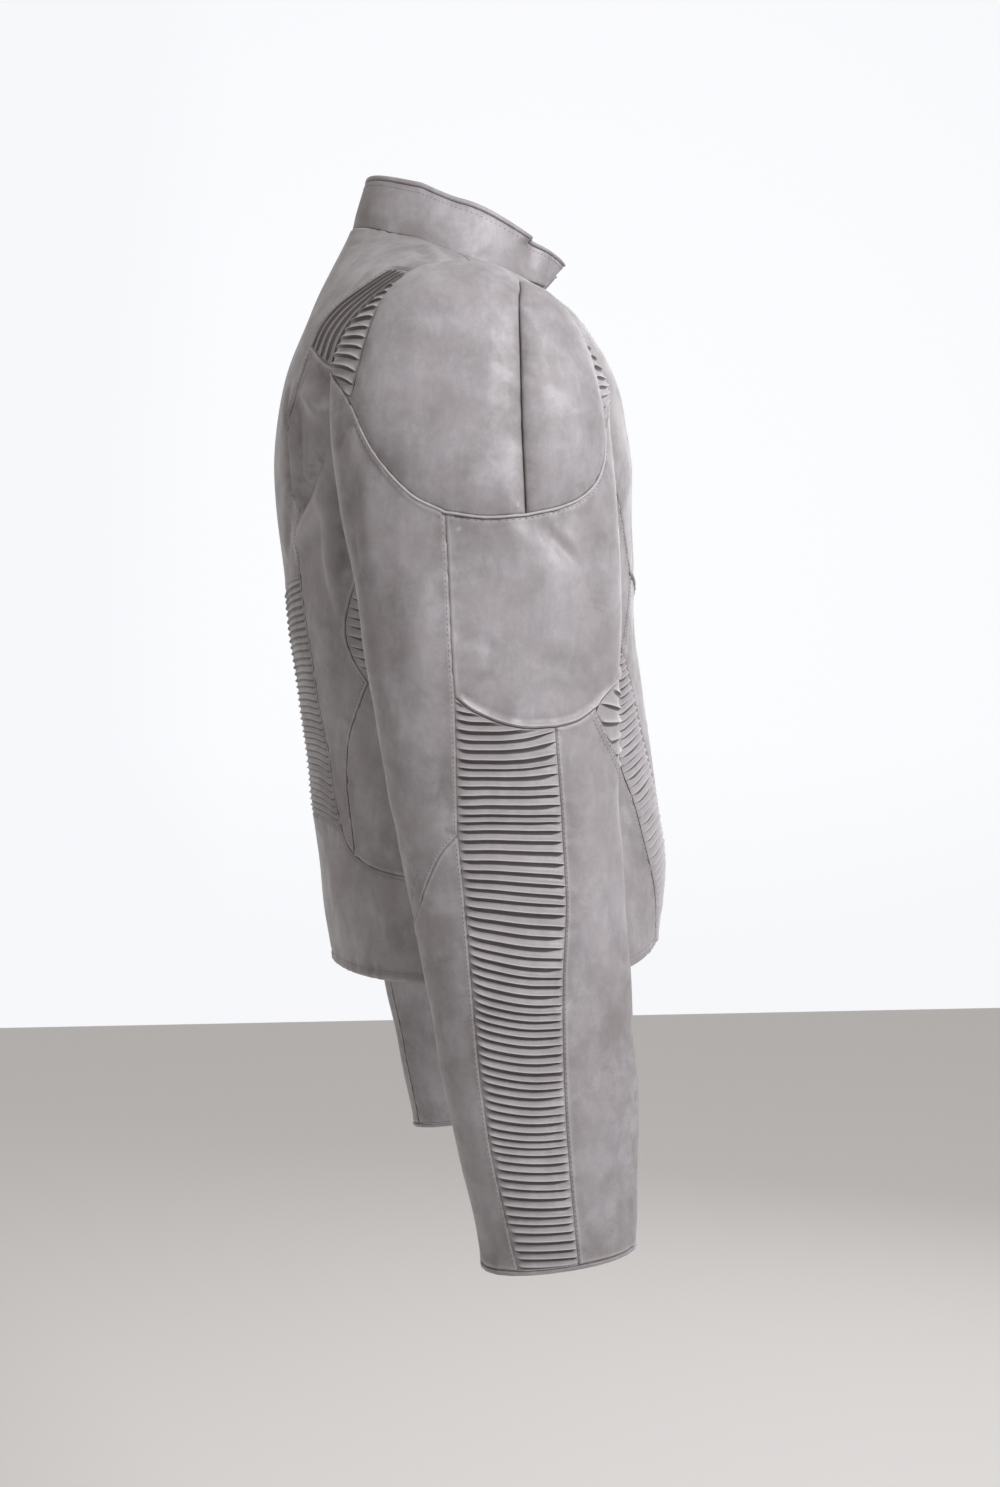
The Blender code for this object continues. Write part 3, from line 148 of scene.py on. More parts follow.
# ---------------------------------------------------------------------------- seams
# Each seam is drawn through its knots. On a sleeve a knot is (angle, level), on the torso (u, v).
SLEEVE_SEAMS = {
    "cap centre": ((CAP_CENTRE_ANGLE, 0), (17, 0.9), (15.5, 1.6), (14.5, 2.2), (13, 3.0), (11.5, 3.77)),
    "cap back tip": ((CAP_BACK_ANGLE, 0), (-29.5, 0.4)),
    "cap back": ((-29.5, 0.4), (-31, 0.82), (-36, 1.18), (-42, 1.58), (-48, 1.95), (-54, 2.25), (-61.5, 2.5)),
    "cap front tip": ((CAP_FRONT_ANGLE, 0), (37, 0.4)),
    "cap front": ((37, 0.4), (44, 0.9), (52, 1.35), (58, 1.75), (62, 2.15), (64, 2.5)),
    "cap low back": ((-61.5, 2.5), (-50, 3.10), (-34, 3.55), (-18.5, 3.75)),
    "cap low middle": ((-18.5, 3.75), (-3, 3.80), (11.5, 3.77)),
    "cap low front": ((11.5, 3.77), (27, 3.67), (41, 3.51), (53, 3.26), (61, 2.92), (64, 2.5)),
    "insert low back": ((-CAP_RIB_ANGLE, 0), (-84, 0.8), (-75, 1.85), (-61.5, 2.5)),
    "insert low front": ((64, 2.5), (76, 1.85), (84, 0.8), (CAP_RIB_ANGLE, 0)),
    "outer back": ((-18.5, 3.75), (-19.8, 4.4), (-21.5, 5.2)),
    "strip back high": ((-21.5, 5.2), (-24, 5.6), (-29, 6.23)),
    "strip back low": (
        (-29, 6.23), (-32.5, 6.9), (-36.5, 7.5), (-40, 8.1), (-40.5, 8.6), (-38.5, 9.2),
        (STRIP_ANGLES[0], CUFF_LEVEL),
    ),
    "strip front": (
        (20, 5.42), (20.5, 6.1), (19, 6.78), (11.8, 7.4), (6.7, 8.0), (5.2, 8.7), (5.8, 9.4),
        (STRIP_ANGLES[1], CUFF_LEVEL),
    ),
    "elbow line": ((-UNDER_ANGLE, 7.1), (-92, 7.02), (-71, 6.85), (-54, 6.6), (-42, 6.40), (-29, 6.23)),
    "round low back": ((-21.5, 5.2), (-13, 5.31), (3, 5.42), (20, 5.42)),
    "round low middle": ((20, 5.42), (33, 5.37), (46, 5.27)),
    "round low front": ((46, 5.27), (59, 5.13), (85, 4.97), (UNDER_ANGLE, 4.75)),
    "gusset low": ((46, 5.30), (62, 5.57), (88, 5.85), (UNDER_ANGLE, 6.2)),
    "under back high": ((-UNDER_ANGLE, 0), (-UNDER_ANGLE, 3.5), (-UNDER_ANGLE, 7.1)),
    "under back low": ((-UNDER_ANGLE, 7.1), (-UNDER_ANGLE, 8.5), (-UNDER_ANGLE, CUFF_LEVEL)),
    "under front high": ((UNDER_ANGLE, 0), (UNDER_ANGLE, 2.5), (UNDER_ANGLE, 4.75)),
    "under front middle": ((UNDER_ANGLE, 4.75), (UNDER_ANGLE, 6.2)),
    "under front low": ((UNDER_ANGLE, 6.2), (UNDER_ANGLE, 8.0), (UNDER_ANGLE, CUFF_LEVEL)),
}
TORSO_SEAMS = {
    "shoulder line": ((0.5, 0), (0.495, 1.2), on_armhole(0)),
    "insert top": ((0.352, 2.03), on_armhole(INSERT_ANGLES[0])),
    "insert inner": ((0.352, 2.03), (0.30, 2.28), (0.254, 2.45), (0.224, 2.68), (0.217, 2.98)),
    "insert low": ((0.217, 2.98), (0.279, 3.36), on_armhole(INSERT_ANGLES[1])),
    "princess high": ((0.217, 2.98), (0.195, 3.6), (0.18, 4.3), (0.170, 4.9), (0.167, 5.45)),
    "princess low": ((0.167, 5.45), (0.167, 6.1), (0.166, 6.8), (0.175, 7.4), (0.19, 7.72)),
    "rib back top": ((-0.167, 5.45), (0, 5.45), (0.167, 5.45)),
    "band middle": ((-0.19, 7.72), (-0.12, 7.63), (0, 7.60), (0.12, 7.63), (0.19, 7.72)),
    "band tail": ((0.19, 7.72), (0.203, 7.83), (0.222, 7.92)),
    "band side": ((0.222, 7.92), (0.275, 8.02), (0.36, 8.09), (SIDE_SEAM_U, 8.14)),
    "side back high": (on_armhole(SIDE_BACK_ANGLE), (0.335, 4.9), (0.312, 5.48)),
    "leaf back": ((0.312, 5.48), (0.288, 5.8), (0.276, 6.05), (0.285, 6.28), (0.306, 6.50)),
    "leaf front": ((0.322, 5.48), (0.362, 5.8), (0.376, 6.05), (0.358, 6.30), (0.316, 6.50)),
    "side back low": ((0.306, 6.50), (0.271, 6.76), (0.240, 7.05), (0.222, 7.4), (0.222, 7.92)),
    "side high": (on_armhole(180), (SIDE_SEAM_U, 6.5), (SIDE_SEAM_U, 8.14)),
    "side low": ((SIDE_SEAM_U, 8.14), (SIDE_SEAM_U, HEM_LEVEL)),
    "chest line": (
        on_armhole(CHEST_ANGLE), (0.68, 4.36), (0.733, 4.47), (0.771, 4.78), (0.793, 5.12), (0.806, 5.36)
    ),
    "rib front inner high": ((0.806, 5.36), (0.79, 5.8), (0.764, 6.2)),
    "rib front inner": (
        (0.768, 6.2), (0.796, 6.55), (0.822, 6.9), (0.847, 7.3), (0.866, 7.7), (0.882, 8.1), (0.889, 8.5),
        (RIB_INNER_U, HEM_LEVEL),
    ),
    "rib front outer": (
        (0.760, 6.2), (0.742, 6.6), (0.728, 7.0), (0.726, 7.25), (0.738, 7.5), (0.750, 7.85), (0.768, 8.2),
        (0.800, 8.6), (RIB_OUTER_U, HEM_LEVEL),
    ),
}
CHEST_END_LEVEL = 5.62  # where the chest piece's round lower seam meets the front edge

# ---------------------------------------------------------------------------- folds
# A fold's knots are places on its surface. Width and height are in mm; a trough has a minus height.
TORSO_FOLDS = (
    # knots, width, height; on the back, from the shoulder down
    (((0.217, 3.50), (0.252, 3.71), (0.280, 3.95)), 6, 6.0),
    (((0.245, 3.35), (0.290, 3.60), (0.320, 3.90)), 6, -4.0),
    (((0.285, 4.20), (0.223, 4.55), (0.140, 4.85)), 6, -6.0),
    (((0.290, 4.50), (0.225, 4.85), (0.145, 5.15)), 7, 5.0),
    (((0.207, 3.57), (0.203, 4.36), (0.150, 5.24)), 7, -3.6),
    (((0.137, 3.24), (0.165, 4.22), (0.105, 5.18)), 7, -4.0),
    (((0.175, 3.30), (0.192, 4.20), (0.165, 5.10)), 6.5, 4.2),
    (((0.273, 4.40), (0.265, 4.90), (0.262, 5.30), (0.273, 5.97)), 5.5, 5.5),
    (((0.305, 4.40), (0.298, 5.00), (0.292, 5.50)), 7, -5.5),
    (((0.270, 5.95), (0.237, 6.17), (0.215, 6.35)), 2.2, -0.6),
    (((0.250, 6.70), (0.262, 7.20), (0.300, 7.80)), 10, 1.4),
    (((0.400, 6.60), (0.420, 7.30), (0.440, 7.90)), 10, 1.4),
    (((0.100, 7.75), (0.130, 8.30), (0.120, 8.80)), 12, 1.2),
    (((0.300, 8.10), (0.320, 8.50), (0.300, 8.90)), 11, -1.3),
    # at the neck
    (((0.040, 0.48), (0.200, 0.54), (0.300, 0.34)), 2.2, -0.6),
    (((0.372, 0.45), (0.398, 1.25), (0.413, 1.95)), 4.5, -2.4),
    (((0.405, 0.40), (0.428, 1.20), (0.440, 1.85)), 5, 1.6),
    (((0.438, 0.15), (0.458, 1.10), (0.472, 1.80)), 3.5, -1.5),
    # at the side and on the front
    (((0.600, 4.80), (0.660, 5.60), (0.690, 6.60)), 11, 1.8),
    (((0.550, 5.30), (0.600, 6.20), (0.620, 7.20)), 10, -1.8),
    (((0.640, 6.60), (0.680, 7.40), (0.690, 8.40)), 11, -1.3),
    (((0.700, 2.60), (0.770, 3.20), (0.840, 3.60)), 13, 1.4),
    (((0.740, 1.60), (0.800, 2.40), (0.860, 3.10)), 10, -1.2),
    (((0.858, 4.54), (0.870, 4.95), (0.880, 5.39)), 8, -2.2),
    (((0.900, 3.20), (0.905, 4.60), (0.900, 5.40)), 9, 1.2),
)
LEFT_FOLDS = (  # only on the wearer's left, where the front's edge stands out
    (((0.890, 5.60), (0.925, 6.05), (0.890, 6.55)), 12, 3.5),
)
SLEEVE_FOLDS = (
    # behind the shoulder and down the back of the arm
    (((-63.5, 2.56), (-67.0, 2.66), (-80.0, 2.70)), 2.6, -1.8),
    (((-60.0, 2.74), (-65.0, 2.92), (-76.0, 3.00)), 7, 1.7),
    (((-52.0, 3.20), (-61.0, 3.69), (-63.0, 4.20)), 9, 1.8),
    (((-70.0, 3.10), (-76.0, 3.60), (-78.0, 4.30)), 8, -1.8),
    (((-44.0, 3.90), (-55.0, 4.74), (-56.0, 5.40)), 10, -1.4),
    (((-26.0, 4.20), (-35.0, 4.84), (-37.0, 5.40)), 9, 1.0),
    # below the piping
    (((2.0, 3.86), (9.0, 3.93), (15.0, 4.06)), 4.5, 0.8),
    (((16.5, 3.82), (24.3, 3.95), (36.0, 4.20)), 4.5, -1.6),
    (((24.0, 3.84), (33.0, 3.93), (41.0, 4.10)), 4.5, 0.9),
    (((43.0, 3.66), (49.0, 3.80), (55.0, 4.00)), 6, -0.9),
    (((26.0, 4.05), (24.0, 4.44), (21.0, 4.90)), 13, 1.3),
    (((-19.0, 4.75), (-10.0, 4.78), (2.0, 4.82)), 6, -1.1),
    (((-20.0, 5.02), (-9.0, 5.06), (3.0, 5.04)), 5, -0.9),
    (((44.0, 4.30), (52.0, 4.60), (58.0, 5.00)), 11, -1.2),
    # beside the cap's middle seam
    (((15.8, 1.70), (18.5, 1.80), (22.0, 1.78)), 2.2, -0.7),
    (((15.6, 1.86), (18.8, 1.97), (21.5, 2.04)), 2.2, 0.7),
    (((15.4, 2.06), (19.0, 2.13), (23.5, 2.13)), 2.4, -0.6),
    (((14.6, 2.45), (18.0, 2.52), (21.0, 2.50)), 2.4, 0.5),
    # at the elbow
    (((-30.0, 5.80), (-43.0, 5.95), (-68.0, 6.08)), 7, -1.8),
    (((-31.0, 6.02), (-46.0, 6.18), (-72.0, 6.32)), 7, 1.4),
    (((-100.0, 5.80), (-85.0, 6.00), (-64.0, 6.10)), 10, 1.4),
    (((-96.0, 6.60), (-80.0, 6.50), (-66.0, 6.34)), 9, -1.7),
    (((110.0, 4.80), (100.0, 5.60), (80.0, 6.30)), 11, -1.8),
    (((90.0, 3.40), (70.0, 4.20), (60.0, 4.90)), 12, 1.6),
    (((130.0, 6.00), (150.0, 6.60), (175.0, 6.90)), 11, 2.0),
    (((215.0, 5.40), (235.0, 6.00), (245.0, 6.60)), 10, 1.8),
    (((200.0, 6.40), (220.0, 6.90), (240.0, 7.30)), 9, -1.8),
    # on the forearm
    (((-42.0, 6.70), (-55.0, 7.16), (-56.0, 7.70)), 10, -1.3),
    (((-42.0, 7.80), (-51.0, 8.29), (-52.0, 8.90)), 10, 1.1),
    (((38.0, 5.90), (40.0, 6.54), (32.0, 7.20)), 12, 1.4),
    (((33.0, 7.30), (38.0, 7.90), (30.0, 8.40)), 11, -1.4),
    (((12.0, 8.30), (20.0, 8.60), (32.0, 8.80)), 9, 1.0),
    (((60.0, 7.00), (66.0, 8.00), (60.0, 9.20)), 14, -1.4),
)
COLLAR_FOLDS = (
    (((0.100, 1.5), (0.090, 0.6), (0.080, 0.12)), 10, -5.5),
    (((0.900, 1.5), (0.910, 0.6), (0.920, 0.12)), 10, -5.5),
    (((0.300, 0.20), (0.270, 0.50), (0.230, 0.62)), 7, 0.9),
    (((0.640, 0.25), (0.690, 0.50), (0.740, 0.60)), 7, 0.9),
)
SLEEVE_DARK_PATCHES = (  # knots, width in mm and strength of darker patches painted on the leather
    (((23.0, 5.80), (24.5, 6.30), (23.0, 6.95)), 7, 0.8),
    (((34.0, 7.60), (36.0, 8.00), (33.0, 8.30)), 9, 0.5),
    (((-8.0, 4.90), (-2.0, 5.05), (4.0, 5.00)), 9, 0.4),
)
# Painted shade in fold troughs and painted highlight on fold ridges: the height for full strength, and the
# strength
FOLD_SHADING = {"trough": 3.0 * MM, "ridge": 3.0 * MM, "dark": 1.2, "pale": 0.45}
COLLAR_FLARE = {"height": 5.0 * MM, "reach": 0.045}  # its front ends stand forward over this share
WAVES = {"height": 0.32 * MM, "lengths": (0.052, 0.067, 0.083, 0.104, 0.131, 0.16), "seed": 11}

# ---------------------------------------------------------------------------- tucks
# Each kind's number of tucks, lift in mm, columns of points, share that its grooves open, tilt and bow.
# Tilt is how many tucks lower a line's right end lies than its left one, and bow how many tucks lower
# its middle lies than both, each at shares of the way down.
TUCKS = {
    "sleeve_rib": (
        63, 2.0, 26, 0.92,
        (
            (0, -4.5), (0.075, -4.0), (0.11, -3.4), (0.16, -2.8), (0.225, -2.4), (0.33, -0.8), (0.45, 0.5),
            (1, 0.5),
        ),
        (
            (0, -0.3), (0.075, -0.55), (0.12, -0.75), (0.16, -1.1), (0.3, -1.0), (0.45, -0.35), (0.6, 0),
            (1, 0),
        ),
    ),
    "back_rib": (35, 1.3, 40, 0.95, ((0, 0), (1, 0)), ((0, 0.4), (1, 0.4))),
    "front_rib": (38, 1.7, 16, 1.0, ((0, -0.6), (0.3, -1.4), (1, -1.8)), ((0, 0), (1, 0))),
    "shoulder_insert": (7, 1.3, 26, 0.7, ((0, 0), (1, 0)), ((0, 0), (1, 0))),
    "cap_rib_back": (15, 1.5, 18, 0.65, ((0, 1.8), (0.5, 3.0), (1, 5.4)), ((0, -0.4), (1, -0.5))),
    "cap_rib_front": (13, 1.5, 18, 0.65, ((0, 1.8), (0.5, 3.0), (1, 5.4)), ((0, -0.4), (1, -0.5))),
    "waist_rib": (12, 1.2, 16, 0.75, ((0, 0.6), (1, 0.6)), ((0, 0.3), (1, 0.3))),
    "gusset": (5, 1.5, 18, 0.5, ((0, 0), (2.6, -7.7)), ((0, 0), (1, -0.75), (2.6, -1.85))),
}
TUCK_PROFILE = np.array([  # along, lift, painted shade and painted highlight: a flat band rises to a lip and falls away under it
    (0.02, -0.02, 0.0, 0.05),
    (0.10, 0.10, 0.0, 0.05),
    (0.24, 0.38, 0.0, 0.10),
    (0.35, 0.72, 0.0, 0.45),
    (0.41, 0.97, 0.0, 1.0),
    (0.45, 1.00, 0.0, 1.0),
    (0.49, 0.90, 0.9, 0.1),
    (0.55, 0.42, 1.0, 0.0),
    (0.65, 0.04, 1.0, 0.0),
    (0.80, -0.08, 1.0, 0.0),
    (0.90, -0.10, 0.9, 0.0),
    (0.94, -0.06, 0.0, 0.0),
])
LIP = 0.45  # where the lip lies across a tuck; what follows it opens up from a point at each seam
TUCK_OPEN = {"left": 5.0 * MM, "right": (1.5 * MM, 13.0 * MM), "share": 0.38, "least": 0.2}
TUCK_PINCH = {"left": 3.6 * MM, "right": 1.6 * MM, "ends": 2.0 * MM}  # a tuck flattens into its seams
UNEVEN = {"width": 0.16, "lift": 0.15, "pinch": 0.5, "tilt": 0.14}

CAP_PADDING = 4.6 * MM
PADDING_EDGE = 22 * MM
PADDING_POWER = 0.75  # 1 is a quarter of a parabola, 0.5 a quarter of an ellipse
CAP_FILL = 0.5
PIPING_RADIUS = 0.85 * MM
PIPING_ENDS = (0.008, 0.992)  # shares of the seam's length between which it lies
PIPING_LIFT = 0.85  # of its radius
PIPING_WAVE = {"share": 0.06, "length": 9 * MM}  # its thickness varies by this, over this distance
PIPING_SHADE = (0.0, 0.0, 0.75)  # its share of seam, groove and lip
SEAM_SINK = 0.1 * MM  # a tucked piece lies this much lower at its seams
SINK_REACH = 1.2 * MM  # and rises from there over this distance
TUCK_EDGE_COLUMNS = np.array([0.6, 1.8, 3.4, 5.4]) * MM  # points lie this far from a tucked piece's sides
TUCK_NARROWEST = 12 * MM  # or nearer, in this proportion, where it is narrower than this
SEAM_WEAR_AND_SHADE = 4.0 * MM  # the leather darkens towards its seams over this distance, as burnish and as painted shade
TUCKED_SEAM = 0.5  # a tucked piece's share of that darkening
SEAM_LINE = 0.3 * MM  # a panel is darkest, with painted shade, this close to its seam
RIDGE_AT, RIDGE_WIDTH = 1.5 * MM, 0.9 * MM  # where the painted highlight on the ridge beside a seam lies, and how wide
COLLAR_STITCH = 0.80  # share of the collar's height where its edge is stitched down
COLLAR_SHARES = np.linspace(0, 1, 220)  # the collar's points along its length
WELD = 0.01 * MM
TAKE_UP = 1.25  # a tucked piece is cut this much longer than it is sewn

# ---------------------------------------------------------------------------- zip
ZIP_TAPE = {"under": 4 * MM, "over": 9 * MM, "thickness": 1.0 * MM, "depth": 2.8 * MM}
ZIP_START, ZIP_END = 0.06, 8.94
TOOTH = {"width": 3.2 * MM, "length": 1.3 * MM, "height": 1.7 * MM, "pitch": 2.3 * MM}
TEETH_WIDTH, TEETH_THICKNESS = 3.0 * MM, 2.0 * MM  # the band that the slider runs round
REST_GAP = 0.3 * MM
SLIDER = {
    "step": 0.2,  # the zip's direction is taken this far above and below it, in rings
    "taper": 0.72,  # its narrow end's share of its width
    "level": 8.55, "width": 8.0 * MM, "length": 11.0 * MM, "plate": 1.3 * MM, "post": 1.6 * MM,
    "clear": 0.35 * MM, "margin": 0.4 * MM,
}
LUG = {"width": 1.4 * MM, "length": 3.4 * MM, "height": 3.2 * MM, "apart": 4.4 * MM}
PULL = {"radius": 0.9 * MM, "width": 3.6 * MM, "length": 19.0 * MM, "thickness": 1.1 * MM}

# ---------------------------------------------------------------------------- stitching
STITCH = {"length": 1.7 * MM, "pitch": 3.0 * MM, "radius": 0.2 * MM}
STITCH_LIFT = 0.35 * STITCH["radius"]
SEAM_STITCH, EDGE_STITCH = 2.6 * MM, 6.2 * MM  # how far a row lies from a seam, and from a turned edge

# ---------------------------------------------------------------------------- light and camera
CAMERA = {"place": (-1.3963, 0.1539, -0.347), "turn": 8.0, "lens": 30.83, "sensor": 24.0}
FLOOR_LEVEL, FLOOR_HALF = -1.42, 6
# Brightness of the light from all round, what each direction adds to it, its least, what is seen of it
# directly, and its colours where it is dim and bright.
WORLD = {
    "middle": 0.50, "left": 0.50, "right": -0.22, "back": -0.56, "front": 0.08, "up": 0.04, "down": -0.36,
    "least": 0.04, "seen": 0.96, "dim": (0.99, 0.86, 0.74), "bright": (0.97, 0.975, 1.0),
}
LIGHTS = (  # name, place, aim, size, power, colour
    ("key", (-1.5, -0.95, 0.7), (0, 0, -0.15), (0.8, 0.8), 35, (0.985, 0.985, 1.0)),
    ("top", (-0.9, -0.3, 2.0), (0, 0, -0.3), (1.2, 1.2), 3, (0.98, 0.98, 1)),
    ("back rim", (-0.9, 2.1, 0.9), (0, 0, -0.3), (0.3, 0.3), 10, (1, 0.97, 0.93)),
    ("left fill", (2.2, -1.4, 0.6), (0, 0, -0.3), (1.6, 1.6), 14, (1, 1, 1)),
)

# ---------------------------------------------------------------------------- colours, linear
COLOURS = {
    "leather": (0.330, 0.316, 0.336),
    "leather dark": (0.205, 0.190, 0.193),
    "leather pale": (0.43, 0.415, 0.443),
    "leather pink": (0.330, 0.297, 0.315),
    # Seam darkening, as burnish and painted shade, and painted shade in fold troughs and the darker patches
    "leather worn and shaded": (0.145, 0.123, 0.117),
    # Painted highlight on tuck lips, seam ridges and fold ridges
    "leather lip highlight": (0.56, 0.535, 0.555),
    # Painted shade in tuck grooves and seam lines
    "leather groove shade": (0.048, 0.038, 0.034),
    "lining": (0.050, 0.046, 0.036),
    "lining dark": (0.022, 0.020, 0.016),
    "tape": (0.62, 0.61, 0.62),
    "tape dark": (0.30, 0.29, 0.30),
    "metal": (0.66, 0.65, 0.63),
    # Darker than the leather: painted shade for the shadowed holes of tonal stitching
    "thread": (0.17, 0.153, 0.156),
}


# ---------------------------------------------------------------------------- surfaces
def through_rows(rows, at):
    """A smooth curve (Catmull-Rom) through the rows of an array, read at fractions of a row."""
    last = len(rows) - 1
    at = np.clip(np.asarray(at, float), 0, last)
    low = np.clip(at.astype(int), 0, last - 1)
    f = (at - low)[..., None]
    padded = np.concatenate([[2 * rows[0] - rows[1]], rows, [2 * rows[-1] - rows[-2]]])
    a, b, c, d = (padded[low + k] for k in range(4))
    return 0.5 * (2 * b + (c - a) * f + (2 * a - 5 * b + 4 * c - d) * f**2 + (3 * b - a - 3 * c + d) * f**3)


def ease(value, start, end):
    """0 before start, 1 after end, smooth between."""
    f = np.clip((value - start) / (end - start), 0, 1)
    return f * f * (3 - 2 * f)


def ring(row, turn):
    """One torso or collar ring: a squared ellipse with its own back and front depth and heights."""
    back_y, back_z, side_x, side_y, side_z, front_y, front_z, power, _, drop = np.moveaxis(row, -1, 0)
    along = np.cos(turn)
    share = np.sign(along) * np.abs(along) ** (2 / power)
    x = side_x * np.sign(np.sin(turn)) * np.abs(np.sin(turn)) ** (2 / power)
    y = side_y + share * np.where(along > 0, back_y - side_y, side_y - front_y)
    z = side_z + along**2 * (np.where(along > 0, back_z, front_z) - side_z)
    z = z - drop * (1 - along**2) * np.maximum(0, 1 - DROP_FORWARD * along)
    return np.stack([x, y, z], -1)


class Surface:
    """A fine grid of points with normals, read between its points by row and column."""

    def __init__(self, grid, outward_from):
        self.grid = grid
        across = np.cross(np.gradient(grid, axis=0), np.gradient(grid, axis=1))
        across /= np.maximum(np.linalg.norm(across, axis=2, keepdims=True), 1e-12)
        self.normals = across * np.sign(((grid - outward_from) * across).sum(-1).mean())

    def read(self, source, row, column):
        """Values of the grid or of its normals between its points."""
        row = np.clip(row, 0, source.shape[0] - 1.000001)
        column = np.clip(column, 0, source.shape[1] - 1.000001)
        i, j = row.astype(int), column.astype(int)
        f, g = (row - i)[..., None], (column - j)[..., None]
        near = source[i, j] * (1 - g) + source[i, j + 1] * g
        far = source[i + 1, j] * (1 - g) + source[i + 1, j + 1] * g
        return near * (1 - f) + far * f


RING_TABLE = np.array(list(TORSO_RINGS.values()))
FINE_V, FINE_U = 361, 241


def torso_surface(side):
    """One half of the torso, each ring divided evenly by length from the back to the front."""
    level = np.linspace(0, len(RING_TABLE) - 1, FINE_V)
    turn = np.linspace(0, math.pi, 721)
    rough = ring(through_rows(RING_TABLE, level)[:, None, :], turn[None, :])
    steps = np.linalg.norm(np.diff(rough, axis=1), axis=2)
    length = np.concatenate([np.zeros((FINE_V, 1)), np.cumsum(steps, 1)], 1)
    even = np.empty((FINE_V, FINE_U, 3))
    for i in range(FINE_V):
        wanted = np.linspace(0, length[i, -1], FINE_U)
        for k in range(3):
            even[i, :, k] = np.interp(wanted, length[i], rough[i, :, k])
    even[..., 0] *= side
    if side > 0:
        share = np.linspace(0, 1, FINE_U)[None, :]
        even[..., 1] -= LEFT_FLARE * ease(share, *LEFT_FLARE_U) * ease(level[:, None], *LEFT_FLARE_LEVELS)
    return Surface(even, even.mean(axis=1, keepdims=True) * [0, 1, 1]), length[:, -1]


TORSO = {side: torso_surface(side)[0] for _, side in SIDES}
HALF_GIRTH = torso_surface(-1)[1]


def torso(u, v, what="grid"):
    """Points or normals of the torso; negative u is the wearer's right."""
    u, v = np.broadcast_arrays(np.asarray(u, float), np.asarray(v, float))
    row = v / (len(RING_TABLE) - 1) * (FINE_V - 1)
    column = np.abs(u) * (FINE_U - 1)
    found = {s: TORSO[s].read(getattr(TORSO[s], what), row, column) for s in (1, -1)}
    return np.where((u < 0)[..., None], found[-1], found[1])


def girth_share(v, distance):
    """The step in u that covers this distance on ring v."""
    level = np.linspace(0, len(RING_TABLE) - 1, FINE_V)
    return distance / np.interp(v, level, HALF_GIRTH)


def front_edge(v, beyond=0.0):
    """u of the front edge, or of a line that far beyond it towards the centre."""
    half_gap = through_rows(RING_TABLE, v)[..., RING_COLUMNS.index("half_gap")]
    return 1 - girth_share(v, half_gap - beyond)


FINE_W, FINE_ANGLE = 401, 241


def sleeve_surface(side):
    """A tube from the armhole through squared ellipses, smooth along its length."""
    angle = np.linspace(0, 360, FINE_ANGLE)
    u, v = on_armhole(angle)
    rings = [torso(side * u, v)]
    c, s = np.cos(np.radians(angle)), np.sin(np.radians(angle))
    outwards = (np.sign(c) * np.abs(c) ** (2 / SLEEVE_POWER))[:, None]
    forwards = (np.sign(s) * np.abs(s) ** (2 / SLEEVE_POWER))[:, None]
    high_front = (np.maximum(c, 0) * np.maximum(s, 0) ** 2)[:, None]
    for out_x, out_z, in_x, in_z, front_y, back_y, front_lift, front_drop in SLEEVE_RINGS.values():
        middle = np.array([(out_x + in_x) / 2 * side, (front_y + back_y) / 2, (out_z + in_z) / 2])
        to_outside = np.array([(out_x - in_x) / 2 * side, 0, (out_z - in_z) / 2])
        to_front = np.array([0, (front_y - back_y) / 2, front_lift])
        rings.append(middle + outwards * to_outside + forwards * to_front - high_front * [0, 0, front_drop])
    rows = np.array(rings).reshape(len(rings), -1)
    grid = through_rows(rows, np.linspace(0, len(rings) - 1, FINE_W)).reshape(FINE_W, FINE_ANGLE, 3)
    return Surface(grid, grid.mean(axis=1, keepdims=True))


SLEEVE = {side: sleeve_surface(side) for _, side in SIDES}


def sleeve_reader(side):
    """A function that gives points or normals of one sleeve."""

    def sleeve(angle, level, what="grid"):
        angle, level = np.broadcast_arrays(np.asarray(angle, float), np.asarray(level, float))
        row = level / len(SLEEVE_RINGS) * (FINE_W - 1)
        column = np.mod(angle, 360) / 360 * (FINE_ANGLE - 1)
        return SLEEVE[side].read(getattr(SLEEVE[side], what), row, column)

    return sleeve


SLEEVE_AT = {side: sleeve_reader(side) for _, side in SIDES}


FINE_HEIGHT, FINE_SHARE = 21, 241


def collar_surface():
    """A band that leans from the neck seam to its top edge, straight between the two rings."""
    turn = np.radians(np.linspace(-COLLAR_ANGLE, COLLAR_ANGLE, FINE_SHARE))
    height = np.linspace(0, 1, FINE_HEIGHT)[:, None, None]
    rows = RING_TABLE[0] + (np.array(COLLAR_TOP) - RING_TABLE[0]) * height
    grid = ring(rows, turn[None, :])
    return Surface(grid, grid.mean(axis=(0, 1)))


COLLAR = collar_surface()


def collar(share, height, what="grid"):
    """Points or normals of the collar; share runs from 0 at the right front end to 1 at the left one."""
    share, height = np.broadcast_arrays(np.asarray(share, float), np.asarray(height, float))
    return COLLAR.read(getattr(COLLAR, what), height * (FINE_HEIGHT - 1), share * (FINE_SHARE - 1))


# ---------------------------------------------------------------------------- folds on the surfaces
FOLD_POINTS = 28


def fold_lines(surface, table, side=1):
    """Each fold as points along its line on the surface, with its width, height and taper."""
    lines = []
    for knots, width, height in table:
        knots = np.array(knots, float) * (side, 1)
        places = through_rows(knots, np.linspace(0, len(knots) - 1, FOLD_POINTS))
        share = np.linspace(0, 1, len(places))
        lines.append((surface(*places.T), width * MM, height * MM, np.sin(math.pi * share) ** 0.7))
    return lines


